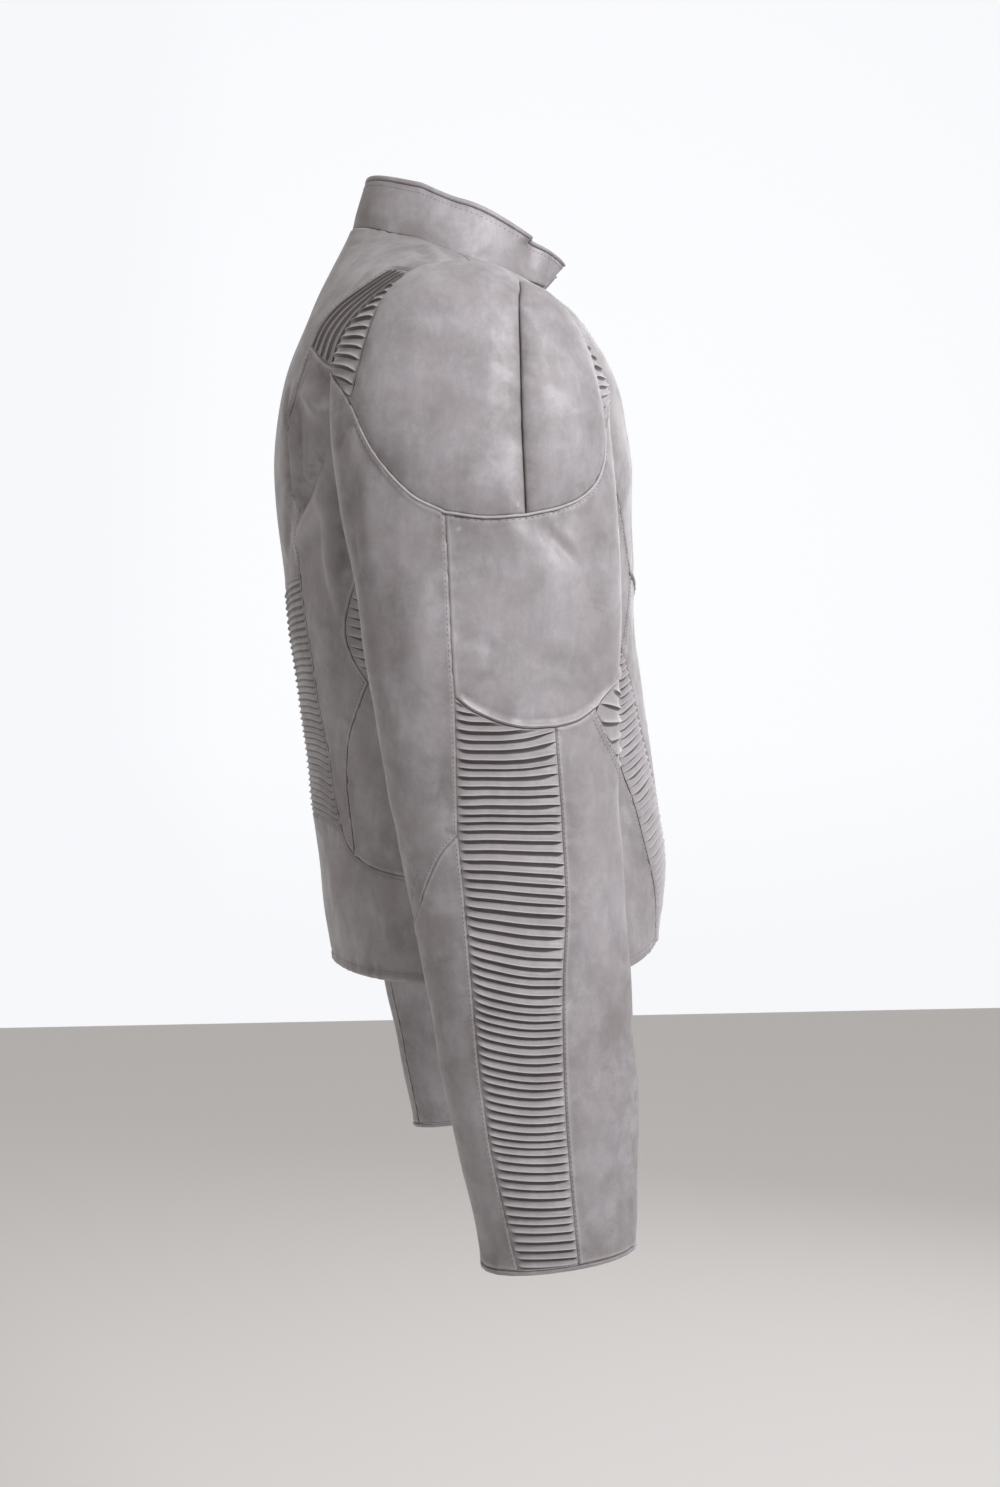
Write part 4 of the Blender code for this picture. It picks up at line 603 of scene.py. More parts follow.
def fold_height(points, lines):
    """Sum of all folds: each is its height times a bell over the distance from its line."""
    total = np.zeros(len(points))
    for line, width, height, taper in lines:
        reach = np.ptp(line, axis=0).max() + 4 * width
        near = np.flatnonzero(np.linalg.norm(points - line.mean(0), axis=1) < reach)
        if not len(near):
            continue
        start, along = line[:-1], np.diff(line, axis=0)
        offset = points[near][:, None] - start
        share = np.clip((offset * along).sum(-1) / (along**2).sum(-1), 0, 1)
        distance = np.linalg.norm(offset - share[..., None] * along, axis=-1)
        closest = distance.argmin(1)
        rows = np.arange(len(near))
        at = closest + share[rows, closest]
        strength = np.interp(at, np.arange(len(taper)), taper)
        total[near] += height * strength * np.exp(-((distance[rows, closest] / width) ** 2))
    return total


def wave_height(points):
    """Soft unevenness: a sum of sine waves of several lengths, each in its own direction."""
    draw = np.random.default_rng(WAVES["seed"])
    total = np.zeros(len(points))
    for length in WAVES["lengths"]:
        direction = draw.normal(size=3)
        direction /= np.linalg.norm(direction)
        total += np.sin(points @ direction * 2 * math.pi / length + draw.uniform(0, 2 * math.pi))
    return total * WAVES["height"]


FOLDS = {
    torso: fold_lines(torso, TORSO_FOLDS + LEFT_FOLDS) + fold_lines(torso, TORSO_FOLDS, -1),
    collar: fold_lines(collar, COLLAR_FOLDS),
}
for _side in (1, -1):
    FOLDS[SLEEVE_AT[_side]] = fold_lines(SLEEVE_AT[_side], SLEEVE_FOLDS)
DARK_PATCH_LINES = {torso: [], collar: []}
for _side in (1, -1):
    DARK_PATCH_LINES[SLEEVE_AT[_side]] = fold_lines(SLEEVE_AT[_side], SLEEVE_DARK_PATCHES)


# ---------------------------------------------------------------------------- seams as dense lines
class Seam:
    """A dense line of places on a surface, with stations that the pieces at both sides share."""

    def __init__(self, surface, line, stations=None, cell=STATION, pulls=SEAM_PULL):
        self.surface, self.line = surface, line
        points = surface(line[:, 0], line[:, 1])
        self.reach = np.concatenate([[0], np.cumsum(np.linalg.norm(np.diff(points, axis=0), axis=1))])
        self.length = self.reach[-1]
        if stations is None:
            stations = self.divided(np.linspace(0, 1, max(1, math.ceil(self.length / cell)) + 1))
        self.stations = stations
        self.pulls = np.broadcast_to(pulls, len(stations) - 1)

    def divided(self, shares):
        """Places at these shares of the line's real length."""
        wanted = np.asarray(shares) * self.length
        return np.stack([np.interp(wanted, self.reach, self.line[:, k]) for k in (0, 1)], -1)

    def back(self):
        """The same seam from its end to its start."""
        return Seam(self.surface, self.line[::-1], self.stations[::-1], pulls=self.pulls[::-1])

    def moved(self, factor=(1, 1), shift=(0, 0)):
        """The seam with its places multiplied and shifted, for instance to the other half."""
        line, stations = (places * factor + shift for places in (self.line, self.stations))
        return Seam(self.surface, line, stations, pulls=self.pulls)


def chain(*seams):
    """Seams end to end, with a straight step between two that do not touch."""
    line, stations, pulls = seams[0].line, seams[0].stations, seams[0].pulls
    for seam in seams[1:]:
        line = np.concatenate([line, seam.line])
        if np.allclose(stations[-1], seam.stations[0], atol=1e-6):
            stations = np.concatenate([stations, seam.stations[1:]])
            pulls = np.concatenate([pulls, seam.pulls])
        else:
            stations = np.concatenate([stations, seam.stations])
            pulls = np.concatenate([pulls, [SEAM_PULL], seam.pulls])
    return Seam(seams[0].surface, line, stations, pulls=pulls)


def drawn(surface, knots):
    """A smooth seam through its knots."""
    knots = np.array(knots, float)
    return Seam(surface, through_rows(knots, np.linspace(0, len(knots) - 1, 40 * (len(knots) - 1) + 1)))


def straight(surface, start, end, cell=STATION, pulls=SEAM_PULL):
    """A seam straight from one place to another."""
    return Seam(surface, np.linspace(start, end, 60), cell=cell, pulls=pulls)


# ---------------------------------------------------------------------------- charts
class Chart:
    """Lays a surface flat in metres: each ring by its own width, and the rings by their mean spacing."""

    def __init__(self, surface, span, last_level):
        across = np.linspace(*span, 161)
        self.levels = np.linspace(0, last_level, 241)
        grid = surface(across[None, :], self.levels[:, None])
        self.width = np.linalg.norm(np.diff(grid, axis=1), axis=2).sum(1) / (span[1] - span[0])
        self.reach = np.concatenate([[0], np.cumsum(np.linalg.norm(np.diff(grid, axis=0), axis=2).mean(1))])

    def flat(self, places, middle):
        """Flat points of these places; middle is the place across that lies at zero."""
        across = (places[:, 0] - middle) * np.interp(places[:, 1], self.levels, self.width)
        return np.stack([across, np.interp(places[:, 1], self.levels, self.reach)], -1)

    def places(self, flat, middle):
        """The places of these flat points."""
        level = np.interp(flat[:, 1], self.reach, self.levels)
        return np.stack([flat[:, 0] / np.interp(level, self.levels, self.width) + middle, level], -1)


CHARTS = {torso: Chart(torso, (-0.999, 0.999), 9), collar: Chart(collar, (0, 1), 1)}
for _side in (1, -1):
    CHARTS[SLEEVE_AT[_side]] = Chart(SLEEVE_AT[_side], (0, 359.9), 10)


def outline_distance(points, flat):
    """For each point: distance to a closed outline, how far round it the nearest place is, and if inside."""
    start, along = flat, np.roll(flat, -1, axis=0) - flat
    steps = np.linalg.norm(along, axis=1)
    reach = np.concatenate([[0], np.cumsum(steps)])[:-1]
    distance, arc, inside = [], [], []
    for part in np.array_split(points, len(points) // 1500 + 1):
        offset = part[:, None] - start
        share = np.clip((offset * along).sum(-1) / np.maximum(steps**2, 1e-18), 0, 1)
        far = np.linalg.norm(offset - share[..., None] * along, axis=-1)
        near = far.argmin(1)
        rows = np.arange(len(part))
        distance.append(far[rows, near])
        arc.append(reach[near] + share[rows, near] * steps[near])
        level = part[:, None, 1]
        passes = (start[:, 1] > level) != (start[:, 1] + along[:, 1] > level)
        slope = along[:, 0] / np.where(along[:, 1] == 0, 1e-12, along[:, 1])
        left_of = part[:, None, 0] < start[:, 0] + (level - start[:, 1]) * slope
        inside.append((passes & left_of).sum(1) % 2 == 1)
    return np.concatenate(distance), np.concatenate(arc), np.concatenate(inside)


def net_points(flat, cell, rings=EDGE_RINGS):
    """Points inside a closed outline: rings along its edge, then an even staggered net."""
    forward = np.roll(flat, -1, axis=0) - flat
    forward /= np.maximum(np.linalg.norm(forward, axis=1, keepdims=True), 1e-12)
    after = np.roll(flat, -1, axis=0)
    turn = np.sign((flat[:, 0] * after[:, 1] - after[:, 0] * flat[:, 1]).sum())
    inward = turn * np.stack([-forward[:, 1], forward[:, 0]], -1)
    before = np.roll(inward, 1, axis=0)
    step = (inward + before) / np.clip(1 + (inward * before).sum(1), 0.35, 2)[:, None]
    kept = []
    for ring_distance in rings:
        points = flat + step * ring_distance
        distance, _, inside = outline_distance(points, flat)
        kept.append(points[inside & (distance > 0.93 * ring_distance)])
    low, high = flat.min(0), flat.max(0)
    x, y = np.meshgrid(np.arange(low[0], high[0], cell), np.arange(low[1], high[1], cell * 0.87))
    x[1::2] += cell / 2
    net = np.stack([x, y], -1).reshape(-1, 2)
    distance, _, inside = outline_distance(net, flat)
    start = rings[-1] if rings else 0
    kept.append(net[inside & (distance > start + 0.5 * cell)])
    return np.concatenate(kept)


def triangulated(flat, inner):
    """Triangles between an outline's points, which come first, and the points inside it."""
    count = len(flat)
    points = [Vector(p) for p in np.concatenate([flat, inner])]
    found = delaunay_2d_cdt(points, [(k, (k + 1) % count) for k in range(count)], [], 1, 1e-9)
    return [tuple(found[3][vertex][0] for vertex in face) for face in found[2]]


# ---------------------------------------------------------------------------- edges of a panel
def patch(left, right, top, bottom, rows, columns):
    """Places inside four seams (a Coons patch), at rows[i, j] down and columns[j] across."""
    a = left.divided(rows.ravel()).reshape(*rows.shape, 2)
    b = right.divided(rows.ravel()).reshape(*rows.shape, 2)
    c, d = top.divided(columns)[None], bottom.divided(columns)[None]
    c0, c1, d0, d1 = top.line[0], top.line[-1], bottom.line[0], bottom.line[-1]
    s, t = columns[None, :, None], rows[..., None]
    corners = (c0 * (1 - s) + c1 * s) * (1 - t) + (d0 * (1 - s) + d1 * s) * t
    return a * (1 - s) + b * s + c * (1 - t) + d * t - corners


def outline(left, right, top, bottom):
    """The stations once round a piece, each one's side (0 top, 1 right, 2 bottom, 3 left) and pull."""
    places, sides, pulls = [], [], []
    for k, seam in enumerate((top, right, bottom.back(), left.back())):
        places.append(seam.stations[:-1])
        sides += [k] * (len(seam.stations) - 1)
        pulls.append(seam.pulls)
    return np.concatenate(places), np.array(sides), np.concatenate(pulls)


def inward_steps(points, normals, inside):
    """At each point of a closed line, the mitred step that moves both of its sides in by one."""
    forward = np.roll(points, -1, axis=0) - points
    forward /= np.maximum(np.linalg.norm(forward, axis=1, keepdims=True), 1e-12)
    inward = np.cross(normals, forward)
    if ((inside - points) * inward).sum() < 0:
        inward = -inward
    inward /= np.maximum(np.linalg.norm(inward, axis=1, keepdims=True), 1e-12)
    before = np.roll(inward, 1, axis=0)
    return (inward + before) / np.clip(1 + (inward * before).sum(1), 0.35, 2)[:, None]


# ---------------------------------------------------------------------------- meshes
def make_object(name, vertices, faces, looks, face_looks=None, wear_and_shading=None, sharp=50, mend=True):
    """A mesh object; looks are its materials, wear_and_shading each point's painted seam darkening, groove
    shade and lip highlight.
    """
    mesh = bpy.data.meshes.new(name)
    mesh.from_pydata(np.asarray(vertices, float).tolist(), [], faces)
    for look in looks:
        mesh.materials.append(look)
    if face_looks is not None:
        mesh.polygons.foreach_set("material_index", np.asarray(face_looks, np.int32))
    if wear_and_shading is not None:
        layer = mesh.attributes.new("wear_and_shading", "FLOAT_VECTOR", "POINT")
        layer.data.foreach_set("vector", np.asarray(wear_and_shading, np.float32).ravel())
    if mend:
        shape = bmesh.new()
        shape.from_mesh(mesh)
        bmesh.ops.remove_doubles(shape, verts=shape.verts, dist=WELD)
        bmesh.ops.recalc_face_normals(shape, faces=shape.faces)
        shape.to_mesh(mesh)
        shape.free()
    mesh.shade_smooth()
    mesh.set_sharp_from_angle(angle=math.radians(sharp))
    mesh.update()
    made = bpy.data.objects.new(name, mesh)
    bpy.context.scene.collection.objects.link(made)
    return made


def grid_faces(index):
    """A face for each cell of a grid of point numbers."""
    return np.stack([index[:-1, :-1], index[1:, :-1], index[1:, 1:], index[:-1, 1:]], -1).reshape(-1, 4)


def grid_rim(index):
    """The point numbers once round a grid."""
    return np.concatenate([index[0, :-1], index[:-1, -1], index[-1, :0:-1], index[:0:-1, 0]])


def wall(name, outer, faces, rim, flat_rim, inner_rim, inner_at, looks, wear_and_shading):
    """A closed wall: an outer face, a plain inner face inside the same rim, and the sides between.

    inner_at(flat points) gives the points of the inner face; rim lists the outer face's edge in order.
    """
    kept = [0]
    for k in range(1, len(rim)):
        if np.linalg.norm(outer[rim[k]] - outer[rim[kept[-1]]]) > 2 * WELD:
            kept.append(k)
    if np.linalg.norm(outer[rim[kept[-1]]] - outer[rim[0]]) <= 2 * WELD:
        kept.pop()
    rim, flat_rim, inner_rim = np.asarray(rim)[kept], flat_rim[kept], inner_rim[kept]
    net = net_points(flat_rim, INSIDE_NET, ())
    start, count = len(outer), len(rim)
    after, low = np.roll(rim, -1), start + np.arange(count)
    sides = np.stack([rim, after, np.roll(low, -1), low], -1).tolist()
    inner_faces = [tuple(start + vertex for vertex in face) for face in triangulated(flat_rim, net)]
    vertices = np.concatenate([outer, inner_rim, inner_at(net)])
    all_wear_and_shading = np.concatenate([wear_and_shading, np.zeros((len(vertices) - start, 3))])
    which = [0] * (len(faces) + count) + [1] * len(inner_faces)
    return make_object(name, vertices, faces + sides + inner_faces, looks, which, all_wear_and_shading)


# ---------------------------------------------------------------------------- plain panels
STITCHES = []  # middle, direction and outward direction of every stitch


def armhole_fade(points):
    """0 at an armhole, 1 well away from it, so that folds of body and sleeve meet there."""
    nearest = np.full(len(points), np.inf)
    for line in ARMHOLE_LINES:
        for part in np.array_split(np.arange(len(points)), len(points) // 4000 + 1):
            far = np.linalg.norm(points[part][:, None] - line, axis=-1).min(1)
            nearest[part] = np.minimum(nearest[part], far)
    return ease(nearest, *ARMHOLE_FADE)


ARMHOLE_LINES = [SLEEVE_AT[_side](np.linspace(0, 357, 120), 0) for _side in (1, -1)]


def soft_height(surface, points):
    """Folds and waves at points of a surface."""
    return (fold_height(points, FOLDS[surface]) + wave_height(points)) * armhole_fade(points)


def fold_shading(surface, points):
    """Painted shade in the troughs, with the darker patches, and painted highlight on the ridges, each from 0
    to 1.
    """
    height = fold_height(points, FOLDS[surface]) * armhole_fade(points)
    brown = np.maximum(np.clip(-height / FOLD_SHADING["trough"], 0, 1), dark_patch(surface, points))
    return FOLD_SHADING["dark"] * brown, FOLD_SHADING["pale"] * np.clip(height / FOLD_SHADING["ridge"], 0, 1)


def dark_patch(surface, points):
    """Darker patches painted on the leather, from 0 to 1."""
    return np.clip(fold_height(points, DARK_PATCH_LINES[surface]) / MM, 0, 1)


def pucker(distance, arc):
    """Small ripples square to a seam, dying away from it, stronger in some stretches than in others."""
    swell = 0.5 + 0.5 * np.sin(2 * math.pi * arc / PUCKER["swell"] + 1.3)
    ripple = sum(np.sin(2 * math.pi * arc / wave + k) for k, wave in enumerate(PUCKER["waves"]))
    return PUCKER["height"] * swell * ripple * np.exp(-distance / PUCKER["reach"])


def edge_height(kinds, side, distance):
    """Height of a panel near its edge, by the kind of edge on each side."""
    total = np.zeros(len(distance))
    for k, kind in enumerate(kinds):
        at, height = np.array(EDGES[kind]).T * MM
        chosen = side == k
        total[chosen] = np.interp(distance[chosen], at, height)
    return total


def inner_face(surface, middle):
    """A function that puts flat points on the plain inner face of a wall."""

    def inside_at(flat_points):
        found = CHARTS[surface].places(flat_points, middle)
        at, normal = surface(*found.T), surface(*found.T, "normals")
        return at + normal * (soft_height(surface, at) - WALL)[:, None]

    return inside_at


def panel(name, left, right, top, bottom, kinds="rolled", stitches=(), pad=0.0, looks=None):
    """A plain wall between four seams, with its folds, puckers, edges and stitching.

    kinds is one kind of edge, or four for top, right, bottom and left. stitches are rows as
    (side, distance from the seam, start, end), with start and end as shares of that side.
    """
    surface = left.surface
    kinds = (kinds,) * 4 if isinstance(kinds, str) else kinds
    places, sides, pulls = outline(left, right, top, bottom)
    chart, middle = CHARTS[surface], places[:, 0].mean()
    flat = chart.flat(places, middle)
    base, up = surface(*places.T), surface(*places.T, "normals")
    centre = patch(left, right, top, bottom, np.array([[0.5]]), np.array([0.5]))[0, 0]
    step = inward_steps(base, up, surface(*centre))
    pull = np.maximum(pulls, np.roll(pulls, 1))[:, None]
    steps = np.linalg.norm(np.roll(flat, -1, axis=0) - flat, axis=1)
    reach = np.concatenate([[0], np.cumsum(steps)])

    def side_at(arc):
        """The side that lies at each distance round the outline."""
        return sides[np.clip(np.searchsorted(reach, arc, "right") - 1, 0, len(sides) - 1)]

    def height(points, distance, arc):
        """Height of points of the surface, at this distance inside the outline and this far round it."""
        side = side_at(arc)
        padded_up = pad * (1 - (1 - np.clip(distance / PADDING_EDGE, 0, 1)) ** 2) ** PADDING_POWER
        ripples = pucker(distance, arc)
        return soft_height(surface, points) + edge_height(kinds, side, distance) + padded_up + ripples

    net = net_points(flat, NET)
    distance, arc, _ = outline_distance(net, flat)
    inner_places = chart.places(net, middle)
    points, normals = surface(*inner_places.T), surface(*inner_places.T, "normals")
    edge_lift = height(base, np.zeros(len(base)), reach[:-1] + 1e-9)
    edge = base + step * pull + up * edge_lift[:, None]
    outer = np.concatenate([edge, points + normals * height(points, distance, arc)[:, None]])
    all_distance = np.concatenate([np.zeros(len(base)), distance])
    nearest = side_at(np.concatenate([reach[:-1] + 1e-9, arc]))
    dark, pale = np.array([EDGE_SHADES[kind] for kind in kinds])[nearest].T
    # Seam darkening as burnish and painted shade, painted shade in the seam line, painted highlight on the
    # ridge beside it
    wear_and_shading = np.stack([
        np.exp(-all_distance / SEAM_WEAR_AND_SHADE), dark * (all_distance < SEAM_LINE),
        pale * np.exp(-(((all_distance - RIDGE_AT) / RIDGE_WIDTH) ** 2)),
    ], -1)
    # Painted shade in fold troughs, with the darker patches, and painted highlight on fold ridges
    brown, fold_highlight = fold_shading(surface, outer)
    wear_and_shading[:, 0], wear_and_shading[:, 2] = np.maximum(wear_and_shading[:, 0], brown), np.maximum(wear_and_shading[:, 2], fold_highlight)
    thick = WALL + 0.6 * pad
    for row in stitches:
        stitch_row(row, base, up, step, sides, reach, height)
    faces = triangulated(flat, net)
    inner_rim = base + step * pull + up * (np.minimum(edge_lift, 0) - thick + 0.6 * pad)[:, None]
    rim, inside_at = np.arange(len(base)), inner_face(surface, middle)
    return wall(name, outer, faces, rim, flat, inner_rim, inside_at, looks or LEATHER, wear_and_shading)


def stitch_row(row, base, up, step, sides, reach, height):
    """Stitches along one side of a panel, each lying on the panel's own surface."""
    side, distance, start, end = row
    on_side = np.flatnonzero(sides == side)
    first, last = reach[on_side[0]], reach[on_side[-1] + 1]
    arcs = np.arange(first + (last - first) * start, first + (last - first) * end, STITCH["pitch"])
    around = [np.concatenate([values, values[:1]]) for values in (base, up, step)]
    at, out, inward = (
        np.stack([np.interp(arcs, reach, values[:, k]) for k in range(3)], -1) for values in around
    )
    out /= np.linalg.norm(out, axis=1, keepdims=True)
    inward /= np.maximum(np.linalg.norm(inward, axis=1, keepdims=True), 1e-12)
    points = at + inward * distance
    lift = height(points, np.full(len(arcs), distance), arcs) + STITCH_LIFT
    middle = points + out * lift[:, None]
    STITCHES.append((middle, np.gradient(middle, axis=0), out))


def stitching(name):
    """All the stitches as one mesh: each is a short thread of eight points, pointed at its ends."""
    middle, along, out = (np.concatenate(parts) for parts in zip(*STITCHES))
    along /= np.maximum(np.linalg.norm(along, axis=1, keepdims=True), 1e-12)
    across = np.cross(out, along)
    across /= np.maximum(np.linalg.norm(across, axis=1, keepdims=True), 1e-12)
    half, radius = STITCH["length"] / 2, STITCH["radius"]
    full = half * 0.6
    shape = [(-half, 0, -radius), (-full, -radius, 0), (-full, radius, 0), (-full, 0, radius)]
    shape += [(full, -radius, 0), (full, radius, 0), (full, 0, radius), (half, 0, -radius)]
    frames = np.stack([along, across, out], 1)
    vertices = (middle[:, None] + np.array(shape) @ frames).reshape(-1, 3)
    faces = [(0, 1, 3), (0, 3, 2), (1, 4, 6, 3), (3, 6, 5, 2), (7, 6, 4), (7, 5, 6), (0, 2, 1)]
    faces += [(1, 2, 5, 4), (4, 5, 7)]
    count = len(middle)
    all_faces = [tuple(8 * k + vertex for vertex in face) for k in range(count) for face in faces]
    return make_object(name, vertices, all_faces, [THREAD], sharp=80, mend=False)


# ---------------------------------------------------------------------------- tucked panels
def tuck_rows(count, openness, tilt, bow, columns, width, draw):
    """Rows of a tucked panel as shares of the way down, one line of the profile each, and its tucks.

    The lines under a lip stay close to it at each seam and part from it over a distance of their own,
    so that the groove is a long lens.
    """
    tilt, bow = np.array(tilt, float), np.array(bow, float)
    extra = math.ceil(np.abs(tilt[:, 1]).max() + np.abs(bow[:, 1]).max() + 1)
    widths = 1 + UNEVEN["width"] * draw.uniform(-1, 1, count + 2 * extra)
    bounds = np.concatenate([[0], np.cumsum(widths)])
    bounds = (bounds - bounds[extra]) / (bounds[extra + count] - bounds[extra])
    reaches = [
        np.minimum(TUCK_OPEN["left"] * draw.uniform(0.7, 1.3, len(widths)), TUCK_OPEN["share"] * width),
        np.minimum(draw.uniform(*TUCK_OPEN["right"], len(widths)), TUCK_OPEN["share"] * width),
    ]
    opened = 1.0
    for reach, share in zip(reaches, (columns, 1 - columns)):
        opened = opened * np.sin(math.pi / 2 * np.clip(share * width / reach[:, None], 0, 1))
    opened = np.maximum(opened * openness, TUCK_OPEN["least"])[:, None, :]
    profile = TUCK_PROFILE[:, 0][None, :, None]
    along = np.minimum(profile, LIP) + np.maximum(profile - LIP, 0) * opened
    rows = bounds[:-1, None, None] + np.diff(bounds)[:, None, None] * along
    rows = rows.reshape(-1, len(columns))
    tuck = np.repeat(np.arange(len(widths)), len(TUCK_PROFILE))
    own_tilt = UNEVEN["tilt"] * draw.uniform(-1, 1, len(widths) + 1)
    own = np.interp(rows, bounds, own_tilt)
    shift = (np.interp(rows, *tilt.T) + own) * columns
    shift = shift + np.interp(rows, *bow.T) * 4 * columns * (1 - columns)
    placed = rows + shift / count
    needed = (placed.max(1) > 0) & (placed.min(1) < 1)
    line = np.tile(np.arange(len(TUCK_PROFILE)), len(widths))
    last = np.ones((1, len(columns)))
    placed = np.clip(np.concatenate([0 * last, placed[needed], last]), 0, 1)
    return placed, np.concatenate([[-1], tuck[needed], [-1]]), np.concatenate([[0], line[needed], [0]])


def tucked(name, kind, left, right, top, bottom, seed):
    """A wall whose outer face is tucked from its left seam to its right one."""
    count, lift, inner_columns, openness, tilt, bow = TUCKS[kind]
    draw = np.random.default_rng(seed)
    surface = left.surface
    width, length = (top.length + bottom.length) / 2, (left.length + right.length) / 2
    near = TUCK_EDGE_COLUMNS / max(width, TUCK_NARROWEST)
    inside = np.linspace(near[-1], 1 - near[-1], inner_columns)[1:-1]
    columns = np.concatenate([[0], near, inside, 1 - near[::-1], [1]])
    rows, tuck, line = tuck_rows(count, openness, tilt, bow, columns, width, draw)
    pull_s, pull_t = TUCKED_PULL / max(width, 8 * MM), TUCKED_PULL / length
    down, across = np.clip(rows, pull_t, 1 - pull_t), np.clip(columns, pull_s, 1 - pull_s)
    places = patch(left, right, top, bottom, down, across)
    base = surface(places[..., 0], places[..., 1])
    up = surface(places[..., 0], places[..., 1], "normals")
    own_lift = 1 + UNEVEN["lift"] * draw.uniform(-1, 1, tuck.max() + 2)
    own_pinch = 1 + UNEVEN["pinch"] * draw.uniform(-1, 1, (tuck.max() + 2, 2))
    widths = np.linalg.norm(np.diff(base, axis=1), axis=2).sum(1)
    from_left = columns[None] * widths[:, None]
    from_right = (1 - columns[None]) * widths[:, None]
    from_ends = np.minimum(rows, 1 - rows) * length
    edge_distance = np.minimum(np.minimum(from_left, from_right), from_ends)
    strength = ease(from_left, 0, TUCK_PINCH["left"] * own_pinch[tuck, :1])
    strength = strength * ease(from_right, 0, TUCK_PINCH["right"] * own_pinch[tuck, 1:])
    strength = strength * ease(from_ends, 0, TUCK_PINCH["ends"])
    profile = TUCK_PROFILE[line]
    soft = soft_height(surface, base.reshape(-1, 3)).reshape(rows.shape)
    sunk = -SEAM_SINK * np.exp(-edge_distance / SINK_REACH)
    rise = soft + sunk + lift * MM * profile[:, 1:2] * strength * own_lift[tuck][:, None]
    outer = base + up * rise[..., None]
    # Seam darkening as burnish and painted shade, painted shade in each groove, painted highlight on each lip
    seam_wear_and_shade = TUCKED_SEAM * np.exp(-edge_distance / SEAM_WEAR_AND_SHADE)
    wear_and_shading = np.stack([seam_wear_and_shade, profile[:, 2:3] * strength, profile[:, 3:4] * strength], -1)
    index = np.arange(rows.size).reshape(rows.shape)
    rim, middle = grid_rim(index), places[..., 0].mean()
    flat = CHARTS[surface].flat(places.reshape(-1, 2)[rim], middle)
    depth = np.minimum(rise.ravel()[rim], 0) - WALL
    inner_rim = base.reshape(-1, 3)[rim] + up.reshape(-1, 3)[rim] * depth[:, None]
    return wall(
        name, outer.reshape(-1, 3), grid_faces(index).tolist(), rim, flat, inner_rim,
        inner_face(surface, middle), RIBBED, wear_and_shading.reshape(-1, 3),
    )


# ---------------------------------------------------------------------------- sizing and attaching the pieces
def flat_size(seams, take_up):
    """Width, length and area of the flat cut that a piece between four seams needs."""
    places = outline(*seams)[0]
    width, length = np.ptp(CHARTS[seams[0].surface].flat(places, places[:, 0].mean()), axis=0)
    share = np.linspace(0, 1, 25)
    inside = patch(*seams, np.repeat(share[:, None], 25, axis=1), share)
    grid = seams[0].surface(inside[..., 0], inside[..., 1])
    down, across = np.diff(grid, axis=0)[:, :-1], np.diff(grid, axis=1)[:-1]
    area = float(np.linalg.norm(np.cross(down, across), axis=-1).sum()) * take_up
    width, length = float(width), float(length) * take_up
    least, most = 0.305 * width * length, 0.999 * width * length
    return round(width, 4), round(length, 4), float(np.clip(area, least, most))


def worn(piece, node, seams, take_up=1.0):
    """The piece stands for its node and moves with the jacket."""
    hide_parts(node)
    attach(piece, BODY)
    width, length, area = flat_size(seams, take_up)
    return piece


def plain(name, left, right, top, bottom, **looks_of):
    """A plain piece of leather between four seams; with a pad it is padded, and its fill is not used."""
    fill = looks_of.pop("fill", None)
    piece = panel(f"cloth_{name}", left, right, top, bottom, **looks_of)
    return worn(piece, name, (left, right, top, bottom))


def ribbed(name, kind, left, right, top, bottom, seed):
    """A tucked piece of leather between four seams."""
    piece = tucked(f"cloth_{name}", kind, left, right, top, bottom, seed)
    return worn(piece, name, (left, right, top, bottom), take_up=TAKE_UP)


# ---------------------------------------------------------------------------- torso pieces
def armhole_angles(start, end):
    """Angles along part of the armhole: those of a fine line, and those of its stations."""
    count = max(3, math.ceil(abs(end - start) / ARMHOLE_STEP) + 1)
    return np.linspace(start, end, 90), np.linspace(start, end, count)


def armhole_seam(start, end, side=1):
    """Part of the armhole as torso places, from one sleeve angle to another."""
    lines = []
    for angle in armhole_angles(start, end):
        u, v = on_armhole(angle)
        lines.append(np.stack([side * u, v], -1))
    return Seam(torso, *lines, pulls=ARMHOLE_PULL)


def edge_seam(start, end, side, beyond=0.0):
    """Part of a front edge, or of a line beside it, from one ring to another."""
    v = np.linspace(start, end, 120)
    return Seam(torso, np.stack([side * front_edge(v, beyond), v], -1))


def level_seam(v, start, end):
    """Part of a ring, from one u to another."""
    return straight(torso, (start, v), (end, v))


def back_pieces():
    """The centre back, its ribbed insert and the hem band."""
    seam = {name: drawn(torso, knots) for name, knots in TORSO_SEAMS.items()}
    half = chain(
        seam["shoulder line"], armhole_seam(0, INSERT_ANGLES[0]), seam["insert top"].back(),
        seam["insert inner"], seam["princess high"],
    )
    plain(
        "back_centre", half.moved((-1, 1)), half, level_seam(0, -0.5, 0.5), seam["rib back top"],
        stitches=((1, SEAM_STITCH, 0.42, 1), (3, SEAM_STITCH, 0, 0.58)),
    )
    ribbed(
        "back_rib", "back_rib", seam["princess low"].moved((-1, 1)), seam["princess low"],
        seam["rib back top"], seam["band middle"], 21,
    )
    top = chain(
        seam["band side"].moved((-1, 1)).back(), seam["band tail"].moved((-1, 1)).back(), seam["band middle"],
        seam["band tail"], seam["band side"],
    )
    plain(
        "hem_band", seam["side low"].moved((-1, 1)), seam["side low"], top,
        level_seam(HEM_LEVEL, -SIDE_SEAM_U, SIDE_SEAM_U),
        kinds=("rolled", "rolled", "turned", "rolled"),
        stitches=((0, 2.4 * MM, 0, 1), (2, EDGE_STITCH, 0, 1)),
    )


